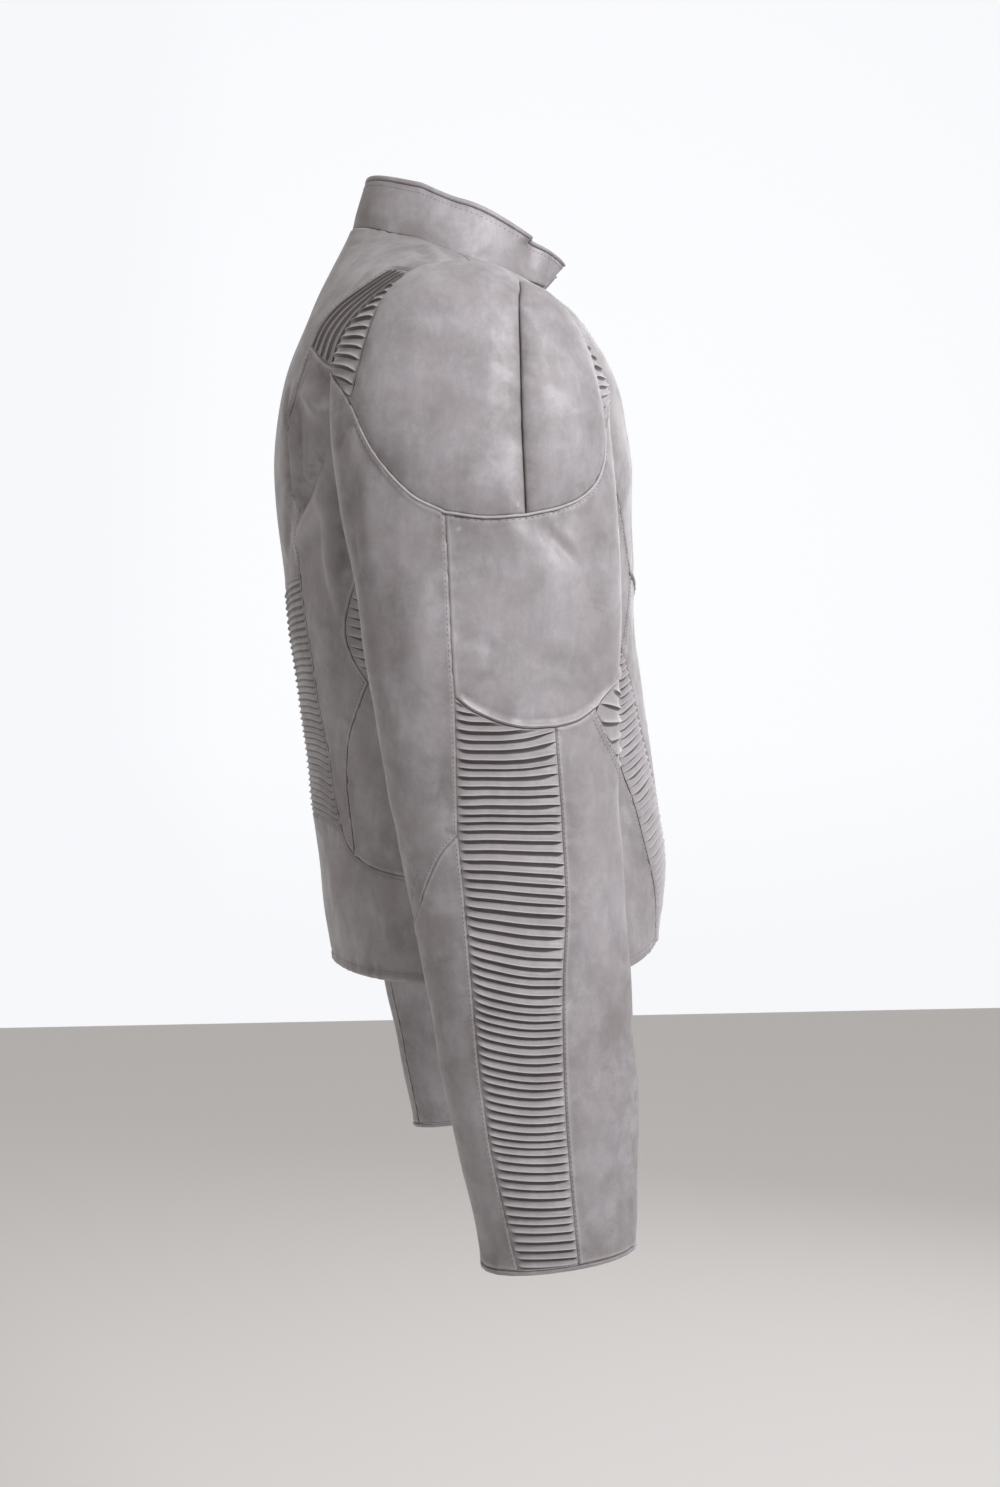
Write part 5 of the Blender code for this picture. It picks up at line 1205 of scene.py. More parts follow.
def half_pieces(name, side):
    """The side back, the side and the front of one half, with their ribbed pieces."""
    seam = {key: drawn(torso, knots).moved((side, 1)) for key, knots in TORSO_SEAMS.items()}
    ribbed(
        f"shoulder_insert_{name}", "shoulder_insert", seam["insert top"], seam["insert low"],
        seam["insert inner"], armhole_seam(*INSERT_ANGLES, side), 30 + side,
    )
    plain(
        f"side_back_{name}", chain(seam["princess high"], seam["princess low"]),
        chain(
            armhole_seam(INSERT_ANGLES[1], SIDE_BACK_ANGLE, side), seam["side back high"], seam["leaf back"],
            seam["side back low"],
        ),
        seam["insert low"], seam["band tail"], kinds=("cord", "pressed", "rolled", "rolled"),
        stitches=((1, SEAM_STITCH, 0.55, 1),),
    )
    ribbed(
        f"waist_rib_{name}", "waist_rib", seam["leaf back"], seam["leaf front"],
        straight(torso, seam["leaf back"].line[0], seam["leaf front"].line[0]),
        straight(torso, seam["leaf back"].line[-1], seam["leaf front"].line[-1]), 40 + side,
    )
    plain(
        f"side_rear_{name}", chain(seam["side back high"], seam["leaf front"], seam["side back low"]),
        seam["side high"], armhole_seam(SIDE_BACK_ANGLE, -180, side), seam["band side"],
    )
    plain(
        f"side_front_{name}", chain(seam["side high"], seam["side low"]),
        chain(seam["chest line"], seam["rib front inner high"], seam["rib front outer"]),
        armhole_seam(180, CHEST_ANGLE, side),
        level_seam(HEM_LEVEL, side * SIDE_SEAM_U, side * RIB_OUTER_U),
        kinds=("rolled", "rolled", "turned", "rolled"),
        stitches=((2, EDGE_STITCH, 0, 1), (1, SEAM_STITCH, 0, 1)),
    )
    low_edge = edge_seam(CHEST_END_LEVEL, HEM_LEVEL, side)
    chest_low = straight(torso, seam["chest line"].line[-1], low_edge.line[0])
    plain(
        f"chest_{name}", chain(seam["shoulder line"], armhole_seam(0, CHEST_ANGLE, side), seam["chest line"]),
        edge_seam(0, CHEST_END_LEVEL, side), level_seam(0, side * 0.5, side * front_edge(0)), chest_low,
        kinds=("rolled", "turned", "bead", "rolled"),
        stitches=((1, EDGE_STITCH, 0.02, 1), (2, 3.4 * MM, 0, 1)),
    )
    plain(
        f"front_{name}", chain(seam["rib front inner high"], seam["rib front inner"]), low_edge, chest_low,
        level_seam(HEM_LEVEL, side * RIB_INNER_U, side * front_edge(HEM_LEVEL)),
        kinds=("rolled", "turned", "turned", "rolled"),
        stitches=((1, EDGE_STITCH, 0, 0.99), (2, EDGE_STITCH, 0.1, 1), (3, SEAM_STITCH, 0, 1)),
    )
    ribbed(
        f"front_rib_{name}", "front_rib", seam["rib front outer"], seam["rib front inner"],
        straight(torso, seam["rib front outer"].line[0], seam["rib front inner"].line[0]),
        level_seam(HEM_LEVEL, side * RIB_OUTER_U, side * RIB_INNER_U), 50 + side,
    )


# ---------------------------------------------------------------------------- sleeve pieces
def sleeve_pieces(name, side):
    """All pieces of one sleeve, from the cap to the binding of the cuff."""
    surface = SLEEVE_AT[side]

    def armhole(start, end):
        """Part of the armhole as sleeve places, with the same stations as on the torso."""
        lines = [np.stack([angle, 0 * angle], -1) for angle in armhole_angles(start, end)]
        return Seam(surface, *lines, pulls=ARMHOLE_PULL)

    def cuff(start, end):
        """Part of the line where the walls stop at the cuff."""
        return straight(surface, (start, CUFF_LEVEL), (end, CUFF_LEVEL))

    seam = {key: drawn(surface, knots) for key, knots in SLEEVE_SEAMS.items()}
    plain(
        f"cap_back_{name}", chain(seam["cap back tip"], seam["cap back"]), seam["cap centre"],
        armhole(CAP_BACK_ANGLE, CAP_CENTRE_ANGLE),
        chain(seam["cap low back"], seam["cap low middle"]), pad=CAP_PADDING, fill=CAP_FILL,
        kinds=("pressed", "deep", "rolled", "rolled"),
    )
    plain(
        f"cap_front_{name}", seam["cap centre"], chain(seam["cap front tip"], seam["cap front"]),
        armhole(CAP_CENTRE_ANGLE, CAP_FRONT_ANGLE), seam["cap low front"], pad=CAP_PADDING, fill=CAP_FILL,
        kinds=("pressed", "rolled", "rolled", "deep"), stitches=((1, 2.0 * MM, 0, 1),),
    )
    for place, start, low_seam in (
        ("back", CAP_BACK_ANGLE, seam["insert low back"].back()),
        ("front", CAP_FRONT_ANGLE, seam["insert low front"]),
    ):
        ribbed(
            f"cap_rib_{place}_{name}", f"cap_rib_{place}", seam[f"cap {place}"],
            armhole(start, math.copysign(CAP_RIB_ANGLE, start)), seam[f"cap {place} tip"].back(), low_seam,
            60 + side,
        )
    plain(
        f"outer_{name}", seam["outer back"], seam["under front high"],
        chain(
            seam["cap low middle"], seam["cap low front"], seam["insert low front"],
            armhole(CAP_RIB_ANGLE, UNDER_ANGLE),
        ),
        chain(seam["round low back"], seam["round low middle"], seam["round low front"]),
        kinds=("rolled", "pressed", "bead", "pressed"), stitches=((0, 2.2 * MM, 0, 0.8),),
    )
    plain(
        f"back_upper_{name}", seam["under back high"], chain(seam["outer back"], seam["strip back high"]),
        chain(armhole(-UNDER_ANGLE, -CAP_RIB_ANGLE), seam["insert low back"], seam["cap low back"]),
        seam["elbow line"],
        kinds=("cord", "pressed", "pressed", "pressed"),
        stitches=((2, 1.8 * MM, 0, 1), (2, 8.5 * MM, 0.35, 0.95), (1, 1.7 * MM, 0, 1), (0, 2.2 * MM, 0.3, 1)),
    )
    plain(
        f"back_lower_{name}", seam["under back low"], seam["strip back low"], seam["elbow line"],
        cuff(-UNDER_ANGLE, STRIP_ANGLES[0]),
        kinds=("pressed", "pressed", "pressed", "pressed"), stitches=((1, 1.7 * MM, 0, 1),),
    )
    ribbed(
        f"sleeve_rib_{name}", "sleeve_rib", chain(seam["strip back high"], seam["strip back low"]),
        seam["strip front"], seam["round low back"], cuff(*STRIP_ANGLES), 70 + side,
    )
    gusset_tip = straight(surface, seam["round low front"].line[0], seam["gusset low"].line[0])
    corner = seam["under front middle"].line[0]
    ribbed(
        f"gusset_{name}", "gusset", chain(seam["round low front"].back(), gusset_tip),
        seam["under front middle"], straight(surface, corner - (0.05, 0), corner), seam["gusset low"],
        80 + side,
    )
    plain(
        f"front_lower_{name}", seam["strip front"], seam["under front low"],
        chain(seam["round low middle"], gusset_tip, seam["gusset low"]), cuff(STRIP_ANGLES[1], UNDER_ANGLE),
        kinds=("pressed", "pressed", "pressed", "pressed"),
        stitches=((0, 1.8 * MM, 0.25, 1), (0, 4.8 * MM, 0.25, 1), (3, 1.2 * MM, 0, 1)),
    )
    plain(
        f"under_{name}", chain(seam["under front high"], seam["under front middle"], seam["under front low"]),
        chain(seam["under back high"], seam["under back low"]).moved(shift=(360, 0)),
        armhole(UNDER_ANGLE, 360 - UNDER_ANGLE), cuff(UNDER_ANGLE, 360 - UNDER_ANGLE),
    )
    low_seam = chain(seam["cap low back"], seam["cap low middle"], seam["cap low front"])
    piping(f"piping_{name}", surface, low_seam)
    cuff_edge(f"cuff_edge_{name}", surface)


def tube(name, middle, up, radius, looks, shade, sides=10):
    """A round cord along a line of points, with flat ends; up is the outward direction at each.

    shade is its share of seam, groove and lip.
    """
    along = np.gradient(middle, axis=0)
    along /= np.linalg.norm(along, axis=1, keepdims=True)
    across = np.cross(up, along)
    across /= np.linalg.norm(across, axis=1, keepdims=True)
    out = np.cross(along, across)
    turn = np.linspace(0, 2 * math.pi, sides, endpoint=False)
    circle = np.cos(turn)[None, :, None] * across[:, None] + np.sin(turn)[None, :, None] * out[:, None]
    vertices = (middle[:, None] + circle * np.reshape(radius, (-1, 1, 1))).reshape(-1, 3)
    index = np.arange(len(vertices)).reshape(-1, sides)
    a, b = index[:-1], index[1:]
    faces = np.stack([a, b, np.roll(b, -1, 1), np.roll(a, -1, 1)], -1).reshape(-1, 4).tolist()
    faces += [tuple(index[0]), tuple(index[-1][::-1])]
    return make_object(name, vertices, faces, looks, wear_and_shading=np.tile(shade, (len(vertices), 1)))


def piping(node, surface, line):
    """The cord sewn along the cap's lower edge, a little uneven where the stitches hold it."""
    shares = np.linspace(*PIPING_ENDS, 160)
    places = line.divided(shares)
    base, up = surface(*places.T), surface(*places.T, "normals")
    wave = np.sin(shares * line.length / PIPING_WAVE["length"] * 2 * math.pi)
    uneven = 1 + PIPING_WAVE["share"] * wave
    lift = soft_height(surface, base) + PIPING_LIFT * PIPING_RADIUS
    centre = base + up * lift[:, None]
    piece = tube(f"cloth_{node}", centre, up, PIPING_RADIUS * uneven, LEATHER[:1], PIPING_SHADE)
    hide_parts(node)
    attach(piece, BODY)


def band(name, base, up, along, profile, looks, closed):
    """A band: its cross-section is a closed line of (share along, depth), its run goes with the columns.

    base, up and along are arrays over the columns: the low edge, the outward direction and the
    whole step from the low to the high edge.
    """
    forth, deep = np.array(profile).T[..., None, None]
    grid = base + along * forth + up * deep
    rows, columns = grid.shape[:2]
    index = np.arange(rows * columns).reshape(rows, columns)
    after = np.roll(index, -1, axis=0)
    if closed:
        a, b, c, d = index, after, np.roll(after, -1, 1), np.roll(index, -1, 1)
    else:
        a, b, c, d = index[:, :-1], after[:, :-1], after[:, 1:], index[:, 1:]
    faces = np.stack([a, b, c, d], -1).reshape(-1, 4).tolist()
    if not closed:
        faces += [tuple(index[:, 0]), tuple(index[::-1, -1])]
    return make_object(name, grid.reshape(-1, 3), faces, looks, sharp=60)


def rounded(low, high, top, under, corner, steps=4):
    """A closed cross-section from low to high along, top to under in depth, with round corners."""
    line = []
    for middle_along, middle_depth, start in (
        (high[0] - corner[0], top - corner[1], 90),
        (high[0] - corner[0], under + corner[1], 0),
        (low[0] + corner[0], under + corner[1], -90),
        (low[0] + corner[0], top - corner[1], -180),
    ):
        for k in range(steps + 1):
            turn = math.radians(start - 90 * k / steps)
            along = middle_along + corner[0] * math.cos(turn)
            line.append((along, middle_depth + corner[1] * math.sin(turn)))
    return line


CUFF_GAP = 0.015  # of a ring, between the sleeve's end and its binding
# The binding's outer and inner depth, its corners as a share along and a depth, and its ripples.
CUFF_SECTION = {"over": 0.9 * MM, "under": -2.3 * MM, "corner": (0.22, 1.3 * MM)}
CUFF_RIPPLE = {"height": 0.15 * MM, "count": 23}


def cuff_edge(node, surface):
    """The narrow binding round the cuff, rolled over the end of the sleeve."""
    angle = np.linspace(0, 360, 150, endpoint=False)
    start = CUFF_LEVEL + CUFF_GAP
    low, high = surface(angle, start), surface(angle, float(len(SLEEVE_RINGS)))
    out, up = high - low, surface(angle, start, "normals")
    soft = soft_height(surface, low)
    ripple = CUFF_RIPPLE["height"] * np.sin(angle / 360 * 2 * math.pi * CUFF_RIPPLE["count"])
    low = low + up * (soft + ripple)[:, None]
    section = rounded((0.0,), (1.0,), CUFF_SECTION["over"], CUFF_SECTION["under"], CUFF_SECTION["corner"])
    piece = band(f"cloth_{node}", low, up, out, section, LEATHER[:1], True)
    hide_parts(node)
    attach(piece, BODY)


# ---------------------------------------------------------------------------- collar and zip
def collar_flare(share, height):
    """How far the collar's front ends stand forward: a bell at each end that grows with the height."""
    ends = sum(np.exp(-((end / COLLAR_FLARE["reach"]) ** 2)) for end in (share, 1 - share))
    return COLLAR_FLARE["height"] * ends * np.maximum(height, 0) ** 0.8


def filled(section, step):
    """A closed cross-section with more points along its long sides, at most this step apart."""
    dense = []
    for k, (at, depth) in enumerate(section):
        following = section[(k + 1) % len(section)]
        count = max(1, round(abs(following[0] - at) / step))
        dense += [
            (at + (following[0] - at) * j / count, depth + (following[1] - depth) * j / count)
            for j in range(count)
        ]
    return dense


def collar_rise(share, height):
    """How far the collar's folds and its front ends lift it."""
    at = collar(share, height)
    soft = soft_height(collar, at.reshape(-1, 3)).reshape(at.shape[:-1])
    return soft * ease(height, 0.0, 0.3) + collar_flare(share, height)


def collar_band(node, low, high, top, under, corner):
    """One soft closed band of the collar, from one share of its height to another."""
    share = COLLAR_SHARES
    height, depth = np.array(filled(rounded((low,), (high,), top, under, corner), 0.05)).T
    at = collar(share[None, :], height[:, None])
    up = collar(share[None, :], height[:, None], "normals")
    rise = collar_rise(share[None, :], height[:, None])
    grid = at + up * (rise + depth[:, None])[..., None]
    index = np.arange(grid.shape[0] * grid.shape[1]).reshape(grid.shape[:2])
    after = np.roll(index, -1, axis=0)
    corners = (index[:, :-1], after[:, :-1], after[:, 1:], index[:, 1:])
    faces = np.stack(corners, -1).reshape(-1, 4).tolist()
    faces += [tuple(index[:, 0]), tuple(index[::-1, -1])]
    # Darker near the collar's top edge and its neck seam, as burnish and as painted shade
    near_top = np.exp(-np.abs(height - high) / 0.04) if node == "collar" else 0 * height
    wear_and_shading = np.zeros((grid.size // 3, 3))
    wear_and_shading[:, 0] = np.repeat(np.maximum(near_top, np.exp(-height / 0.06)), grid.shape[1])
    piece = make_object(f"cloth_{node}", grid.reshape(-1, 3), faces, LEATHER[:1], wear_and_shading=wear_and_shading, sharp=60)
    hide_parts(node)
    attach(piece, BODY)
    width = float(np.linalg.norm(np.diff(collar(share, (low + high) / 2), axis=0), axis=1).sum())
    tall = float(np.linalg.norm(collar(0.5, high) - collar(0.5, low)))


def collar_stitches():
    """The row of stitches that holds the collar's turned edge."""
    length = float(np.linalg.norm(np.diff(collar(COLLAR_SHARES, COLLAR_STITCH), axis=0), axis=1).sum())
    shares = np.arange(0.004, 0.996, STITCH["pitch"] / length)
    middle, out = collar(shares, COLLAR_STITCH), collar(shares, COLLAR_STITCH, "normals")
    rise = collar_rise(shares, COLLAR_STITCH)
    middle = middle + out * (rise + 0.1 * MM + STITCH_LIFT)[:, None]
    STITCHES.append((middle, np.gradient(middle, axis=0), out))


# Each band's low and high share of the collar's height, its outer and inner depth, and its corners.
COLLAR_BANDS = {
    "collar": (0.012, 1 - COLLAR_EDGE - 0.004, 0.1 * MM, -COLLAR_WALL, (0.02, 0.7 * MM)),
    "collar_edge": (1 - COLLAR_EDGE + 0.004, 1.0, 0.6 * MM, -COLLAR_WALL - 0.4 * MM, (0.035, 1.6 * MM)),
}


def collar_pieces():
    """The stand collar and its turned, stitched top edge."""
    for node, row in COLLAR_BANDS.items():
        collar_band(node, *row)
    collar_stitches()


def strip_grid(side, start, end, columns, step):
    """Base points and normals of a strip along a front edge, between two distances beyond it."""
    length = Seam(torso, edge_seam(ZIP_START, ZIP_END, side).line).length
    v = np.linspace(ZIP_START, ZIP_END, round(length / step))
    beyond = np.linspace(start, end, columns)
    u = np.stack([front_edge(v, distance) for distance in beyond], 1) * side
    return torso(u, v[:, None]), torso(u, v[:, None], "normals"), length


def zip_tape(name, side):
    """The woven tape, under the turned front edge and a little beyond it, gently rippled."""
    base, up, length = strip_grid(side, -ZIP_TAPE["under"], ZIP_TAPE["over"], 9, 3 * MM)
    soft = soft_height(torso, base.reshape(-1, 3)).reshape(base.shape[:2])
    top = base + up * (soft - ZIP_TAPE["depth"])[..., None]
    low = top - up * ZIP_TAPE["thickness"]
    count = top.shape[0] * top.shape[1]
    index = np.arange(count).reshape(top.shape[:2])
    faces, rim = grid_faces(index), grid_rim(index)
    sides = np.stack([rim, np.roll(rim, -1), np.roll(rim, -1) + count, rim + count], -1)
    all_faces = np.concatenate([faces, faces[:, ::-1] + count, sides]).tolist()
    vertices = np.concatenate([top.reshape(-1, 3), low.reshape(-1, 3)])
    piece = make_object(f"cloth_zip_tape_{name}", vertices, all_faces, [TAPE])
    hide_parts(f"zip_tape_{name}")
    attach(piece, BODY)


def block(low, high, taper=0.7):
    """A small block with chamfered top and bottom, as vertices and faces."""
    low, high = np.array(low, float), np.array(high, float)
    middle, half = (low + high) / 2, (high - low) / 2
    rows = ((-1, taper), (-0.6, 1), (0.6, 1), (1, taper))
    corners = ((-1, -1), (1, -1), (1, 1), (-1, 1))
    vertices = [middle + half * (x * size, y * size, z) for z, size in rows for x, y in corners]
    faces = [(3, 2, 1, 0), (12, 13, 14, 15)]
    for row in range(len(rows) - 1):
        for k in range(4):
            first, after = 4 * row + k, 4 * row + (k + 1) % 4
            faces.append((first, after, after + 4, first + 4))
    return np.array(vertices), faces


def zip_teeth(name, side):
    """A row of separate teeth clamped on the edge of the tape."""
    middle = ZIP_TAPE["over"] - TOOTH["width"] / 2 + 0.2 * MM
    v_line = np.linspace(ZIP_START, ZIP_END, 400)
    line = Seam(torso, np.stack([side * front_edge(v_line, middle), v_line], -1))
    count = int(line.length / TOOTH["pitch"])
    places = line.divided((np.arange(count) + 0.5) / count)
    at, up = torso(*places.T), torso(*places.T, "normals")
    along = np.gradient(at, axis=0)
    along /= np.linalg.norm(along, axis=1, keepdims=True)
    across = np.cross(up, along)
    soft = soft_height(torso, at)
    top = -(ZIP_TAPE["depth"] - REST_GAP - TOOTH["height"])
    centre = at + up * (soft + top - TOOTH["height"] / 2)[:, None]
    half = (TOOTH["width"] / 2, TOOTH["length"] / 2, TOOTH["height"] / 2)
    shape, shape_faces = block([-x for x in half], half)
    frames = np.stack([across, along, up], 1)
    vertices = (centre[:, None] + shape @ frames).reshape(-1, 3)
    faces = [tuple(len(shape) * k + vertex for vertex in face) for k in range(count) for face in shape_faces]
    piece = make_object(f"zip_teeth_{name}_row", vertices, faces, [METAL], sharp=30, mend=False)
    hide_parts(f"zip_teeth_{name}")
    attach(piece, BODY)


def zip_frame():
    """Where the slider sits: across points to the centre, then down, then out."""
    level, step = SLIDER["level"], SLIDER["step"]
    middle = ZIP_TAPE["over"] - TEETH_WIDTH / 2
    above = torso(front_edge(np.array(level - step), middle), level - step)
    below = torso(front_edge(np.array(level + step), middle), level + step)
    down = (below - above) / np.linalg.norm(below - above)
    out = torso(front_edge(np.array(level), middle), level, "normals")
    out = out - down * (out @ down)
    out /= np.linalg.norm(out)
    return torso(front_edge(np.array(level), middle), level), np.array([np.cross(down, out), down, out])


def metal_piece(name, blocks, node, body, bevel):
    """Blocks in the slider's frame as one piece of metal, its edges rounded."""
    origin, axes = zip_frame()
    vertices, faces = [], []
    for shape, shape_faces in blocks:
        first = sum(len(v) for v in vertices)
        vertices.append(origin + shape @ axes)
        faces += [tuple(first + vertex for vertex in face) for face in shape_faces]
    piece = make_object(name, np.concatenate(vertices), faces, [METAL], sharp=35, mend=False)
    rounding = piece.modifiers.new("rounding", "BEVEL")
    rounding.width = bevel
    rounding.segments = 2
    rounding.limit_method = "ANGLE"
    rounding.harden_normals = False
    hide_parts(node)
    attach(piece, body)


def box(low, high):
    """A box between two corners, as vertices and faces."""
    across, along, up = zip(low, high)
    vertices = np.array([[x, y, z] for z in up for y in along for x in across])
    return vertices, [(0, 2, 3, 1), (4, 5, 7, 6), (0, 1, 5, 4), (2, 6, 7, 3), (0, 4, 6, 2), (1, 3, 7, 5)]


# A plate narrows from this share of its length, bends in this far before its end, and is this share as wide
# at its tip as there.
PLATE = {"shoulder": 0.35, "round": 1.6 * MM, "tip": 0.6}


def plate(wide_high, wide_low, start, end, under, top):
    """A plate whose width goes from one value to another along its length, rounded at the narrow end."""
    shoulder, tip = start + (end - start) * PLATE["shoulder"], wide_low * PLATE["tip"]
    bend = end - PLATE["round"]
    outline_points = [(-wide_high, start), (wide_high, start), (wide_high, shoulder), (wide_low, bend)]
    outline_points += [(tip, end), (-tip, end), (-wide_low, bend), (-wide_high, shoulder)]
    count = len(outline_points)
    vertices = np.array([(x, y, z) for z in (under, top) for x, y in outline_points])
    faces = [tuple(range(count))[::-1], tuple(range(count, 2 * count))]
    faces += [(k, (k + 1) % count, (k + 1) % count + count, k + count) for k in range(count)]
    return vertices, faces


def slider_and_pull():
    """Two plates round the left row of teeth, a post, two lugs, and the tab that turns between them."""
    wide, long, thick, clear = SLIDER["width"] / 2, SLIDER["length"] / 2, SLIDER["plate"], SLIDER["clear"]
    face = clear - (ZIP_TAPE["depth"] - REST_GAP - TEETH_THICKNESS)
    top, rear = face + thick, -ZIP_TAPE["depth"] - ZIP_TAPE["thickness"] - clear
    post, root = TEETH_WIDTH / 2 + clear, -long + SLIDER["margin"]
    blocks = [
        plate(wide, wide * SLIDER["taper"], -long, long, face, top),
        plate(wide, wide * SLIDER["taper"], -long, long, rear - thick, rear),
        box(
            (post, root, rear - SLIDER["margin"]),
            (post + SLIDER["post"], root + SLIDER["post"] * 2, face + 0.4 * MM),
        ),
    ]
    for sign in (-1, 1):
        middle = sign * (LUG["apart"] + LUG["width"]) / 2
        blocks.append(box(
            (middle - LUG["width"] / 2, root, top - SLIDER["margin"]),
            (middle + LUG["width"] / 2, root + LUG["length"], top + LUG["height"]),
        ))
    metal_piece("slider_body", blocks, "zip_slider", BODY, 0.25 * MM)
    at = np.array([0.0, root + LUG["length"] / 2, top + LUG["height"] / 2])
    half, turns = PULL["width"] / 2, 20
    turn = np.linspace(0, 2 * math.pi, turns, endpoint=False)
    round_points = np.stack([np.cos(turn), np.sin(turn)], -1) * PULL["radius"]
    ends = np.array([(x, at[1] + y, at[2] + z) for x in (-half, half) for y, z in round_points])
    faces = [tuple(range(turns))[::-1], tuple(range(turns, 2 * turns))]
    faces += [(k, (k + 1) % turns, turns + (k + 1) % turns, turns + k) for k in range(turns)]
    depth = PULL["thickness"] / 2
    blade = plate(half, half * 0.8, at[1], at[1] + PULL["length"], at[2] - depth, at[2] + depth)
    metal_piece("pull_tab_metal", [(ends, faces), blade], "pull_tab", "pull", 0.2 * MM)


# ---------------------------------------------------------------------------- materials
class Nodes:
    """Short calls for building one tree of shader nodes, whose textures are read at one place."""

    def __init__(self, tree, place):
        self.tree, self.place = tree, place

    def add(self, kind, **values):
        """A new node, with its settings and inputs by name."""
        node = self.tree.nodes.new(kind)
        for key, value in values.items():
            if hasattr(node, key):
                setattr(node, key, value)
            else:
                node.inputs[key.replace("_", " ").title()].default_value = value
        return node

    def link(self, start, end):
        self.tree.links.new(start, end)

    def noise(self, scale, detail=3.0, roughness=0.55, distortion=0.0, stretch=(1, 1, 1)):
        """Noise from 0 to 1, whose scale is for a metre."""
        node = self.add("ShaderNodeTexNoise", scale=scale, detail=detail, roughness=roughness)
        node.inputs["Distortion"].default_value = distortion
        at = self.add("ShaderNodeMapping")
        at.inputs["Scale"].default_value = stretch
        self.link(self.place, at.inputs["Vector"])
        self.link(at.outputs["Vector"], node.inputs["Vector"])
        return node.outputs["Fac"]

    def ranged(self, value, low, high, to_low=0.0, to_high=1.0):
        """The value moved from one range to another and kept inside it."""
        node = self.add("ShaderNodeMapRange")
        self.link(value, node.inputs["Value"])
        for key, number in zip(("From Min", "From Max", "To Min", "To Max"), (low, high, to_low, to_high)):
            node.inputs[key].default_value = number
        return node.outputs["Result"]

    def math(self, operation, a, b):
        """The result of one sum; a and b are numbers or outputs of nodes."""
        node = self.add("ShaderNodeMath", operation=operation)
        for k, value in enumerate((a, b)):
            if isinstance(value, (int, float)):
                node.inputs[k].default_value = value
            else:
                self.link(value, node.inputs[k])
        return node.outputs[0]

    def mixed(self, share, a, b):
        """The colour this share of the way from a to b."""
        node = self.add("ShaderNodeMix", data_type="RGBA")
        if isinstance(share, (int, float)):
            node.inputs["Factor"].default_value = share
        else:
            self.link(share, node.inputs["Factor"])
        for key, value in (("A", a), ("B", b)):
            socket = [s for s in node.inputs if s.name == key and s.type == "RGBA"][0]
            if isinstance(value, tuple):
                socket.default_value = (*value, 1)
            else:
                self.link(value, socket)
        return [s for s in node.outputs if s.type == "RGBA"][0]

    def bump(self, height, distance, strength, below=None):
        """Normals of a relief this high, on top of those of another."""
        node = self.add("ShaderNodeBump")
        node.inputs["Strength"].default_value = strength
        node.inputs["Distance"].default_value = distance
        self.link(height, node.inputs["Height"])
        if below:
            self.link(below, node.inputs["Normal"])
        return node.outputs["Normal"]


def new_material(name):
    """A material, its shader and the calls that build its nodes, read at the object's own places."""
    material = bpy.data.materials.new(name)
    material.use_nodes = True
    m = Nodes(material.node_tree, None)
    m.place = m.add("ShaderNodeTexCoord").outputs["Object"]
    return material, m.tree.nodes["Principled BSDF"], m


# The leather's clouds: scale for a metre, detail, roughness, distortion and stretch of each noise, and the
# range of it that is spread from 0 to 1.
LEATHER_CLOUDS = {
    "cloud": (16, 3.0, 0.55, 0.3, (1, 1, 1), 0.42, 0.64),
    "patches": (52, 6.0, 0.66, 0.25, (1, 1, 1), 0.42, 0.62),
    "streaks": (85, 5.0, 0.68, 0.5, (1, 1, 0.4), 0.42, 0.62),
    "pink": (27, 2.0, 0.5, 0.0, (1, 1, 1), 0.45, 0.65),
}
TINTS = {  # how much each layer tints the leather, painted lip highlight and groove shade among them; at a seam it is least and most
    "cloud": 0.42, "patches": 0.40, "streaks": 0.6, "pink": 0.4, "fine": 0.16, "seam": (0.12, 0.5),
    "lip": 0.6, "groove": 0.85,
}


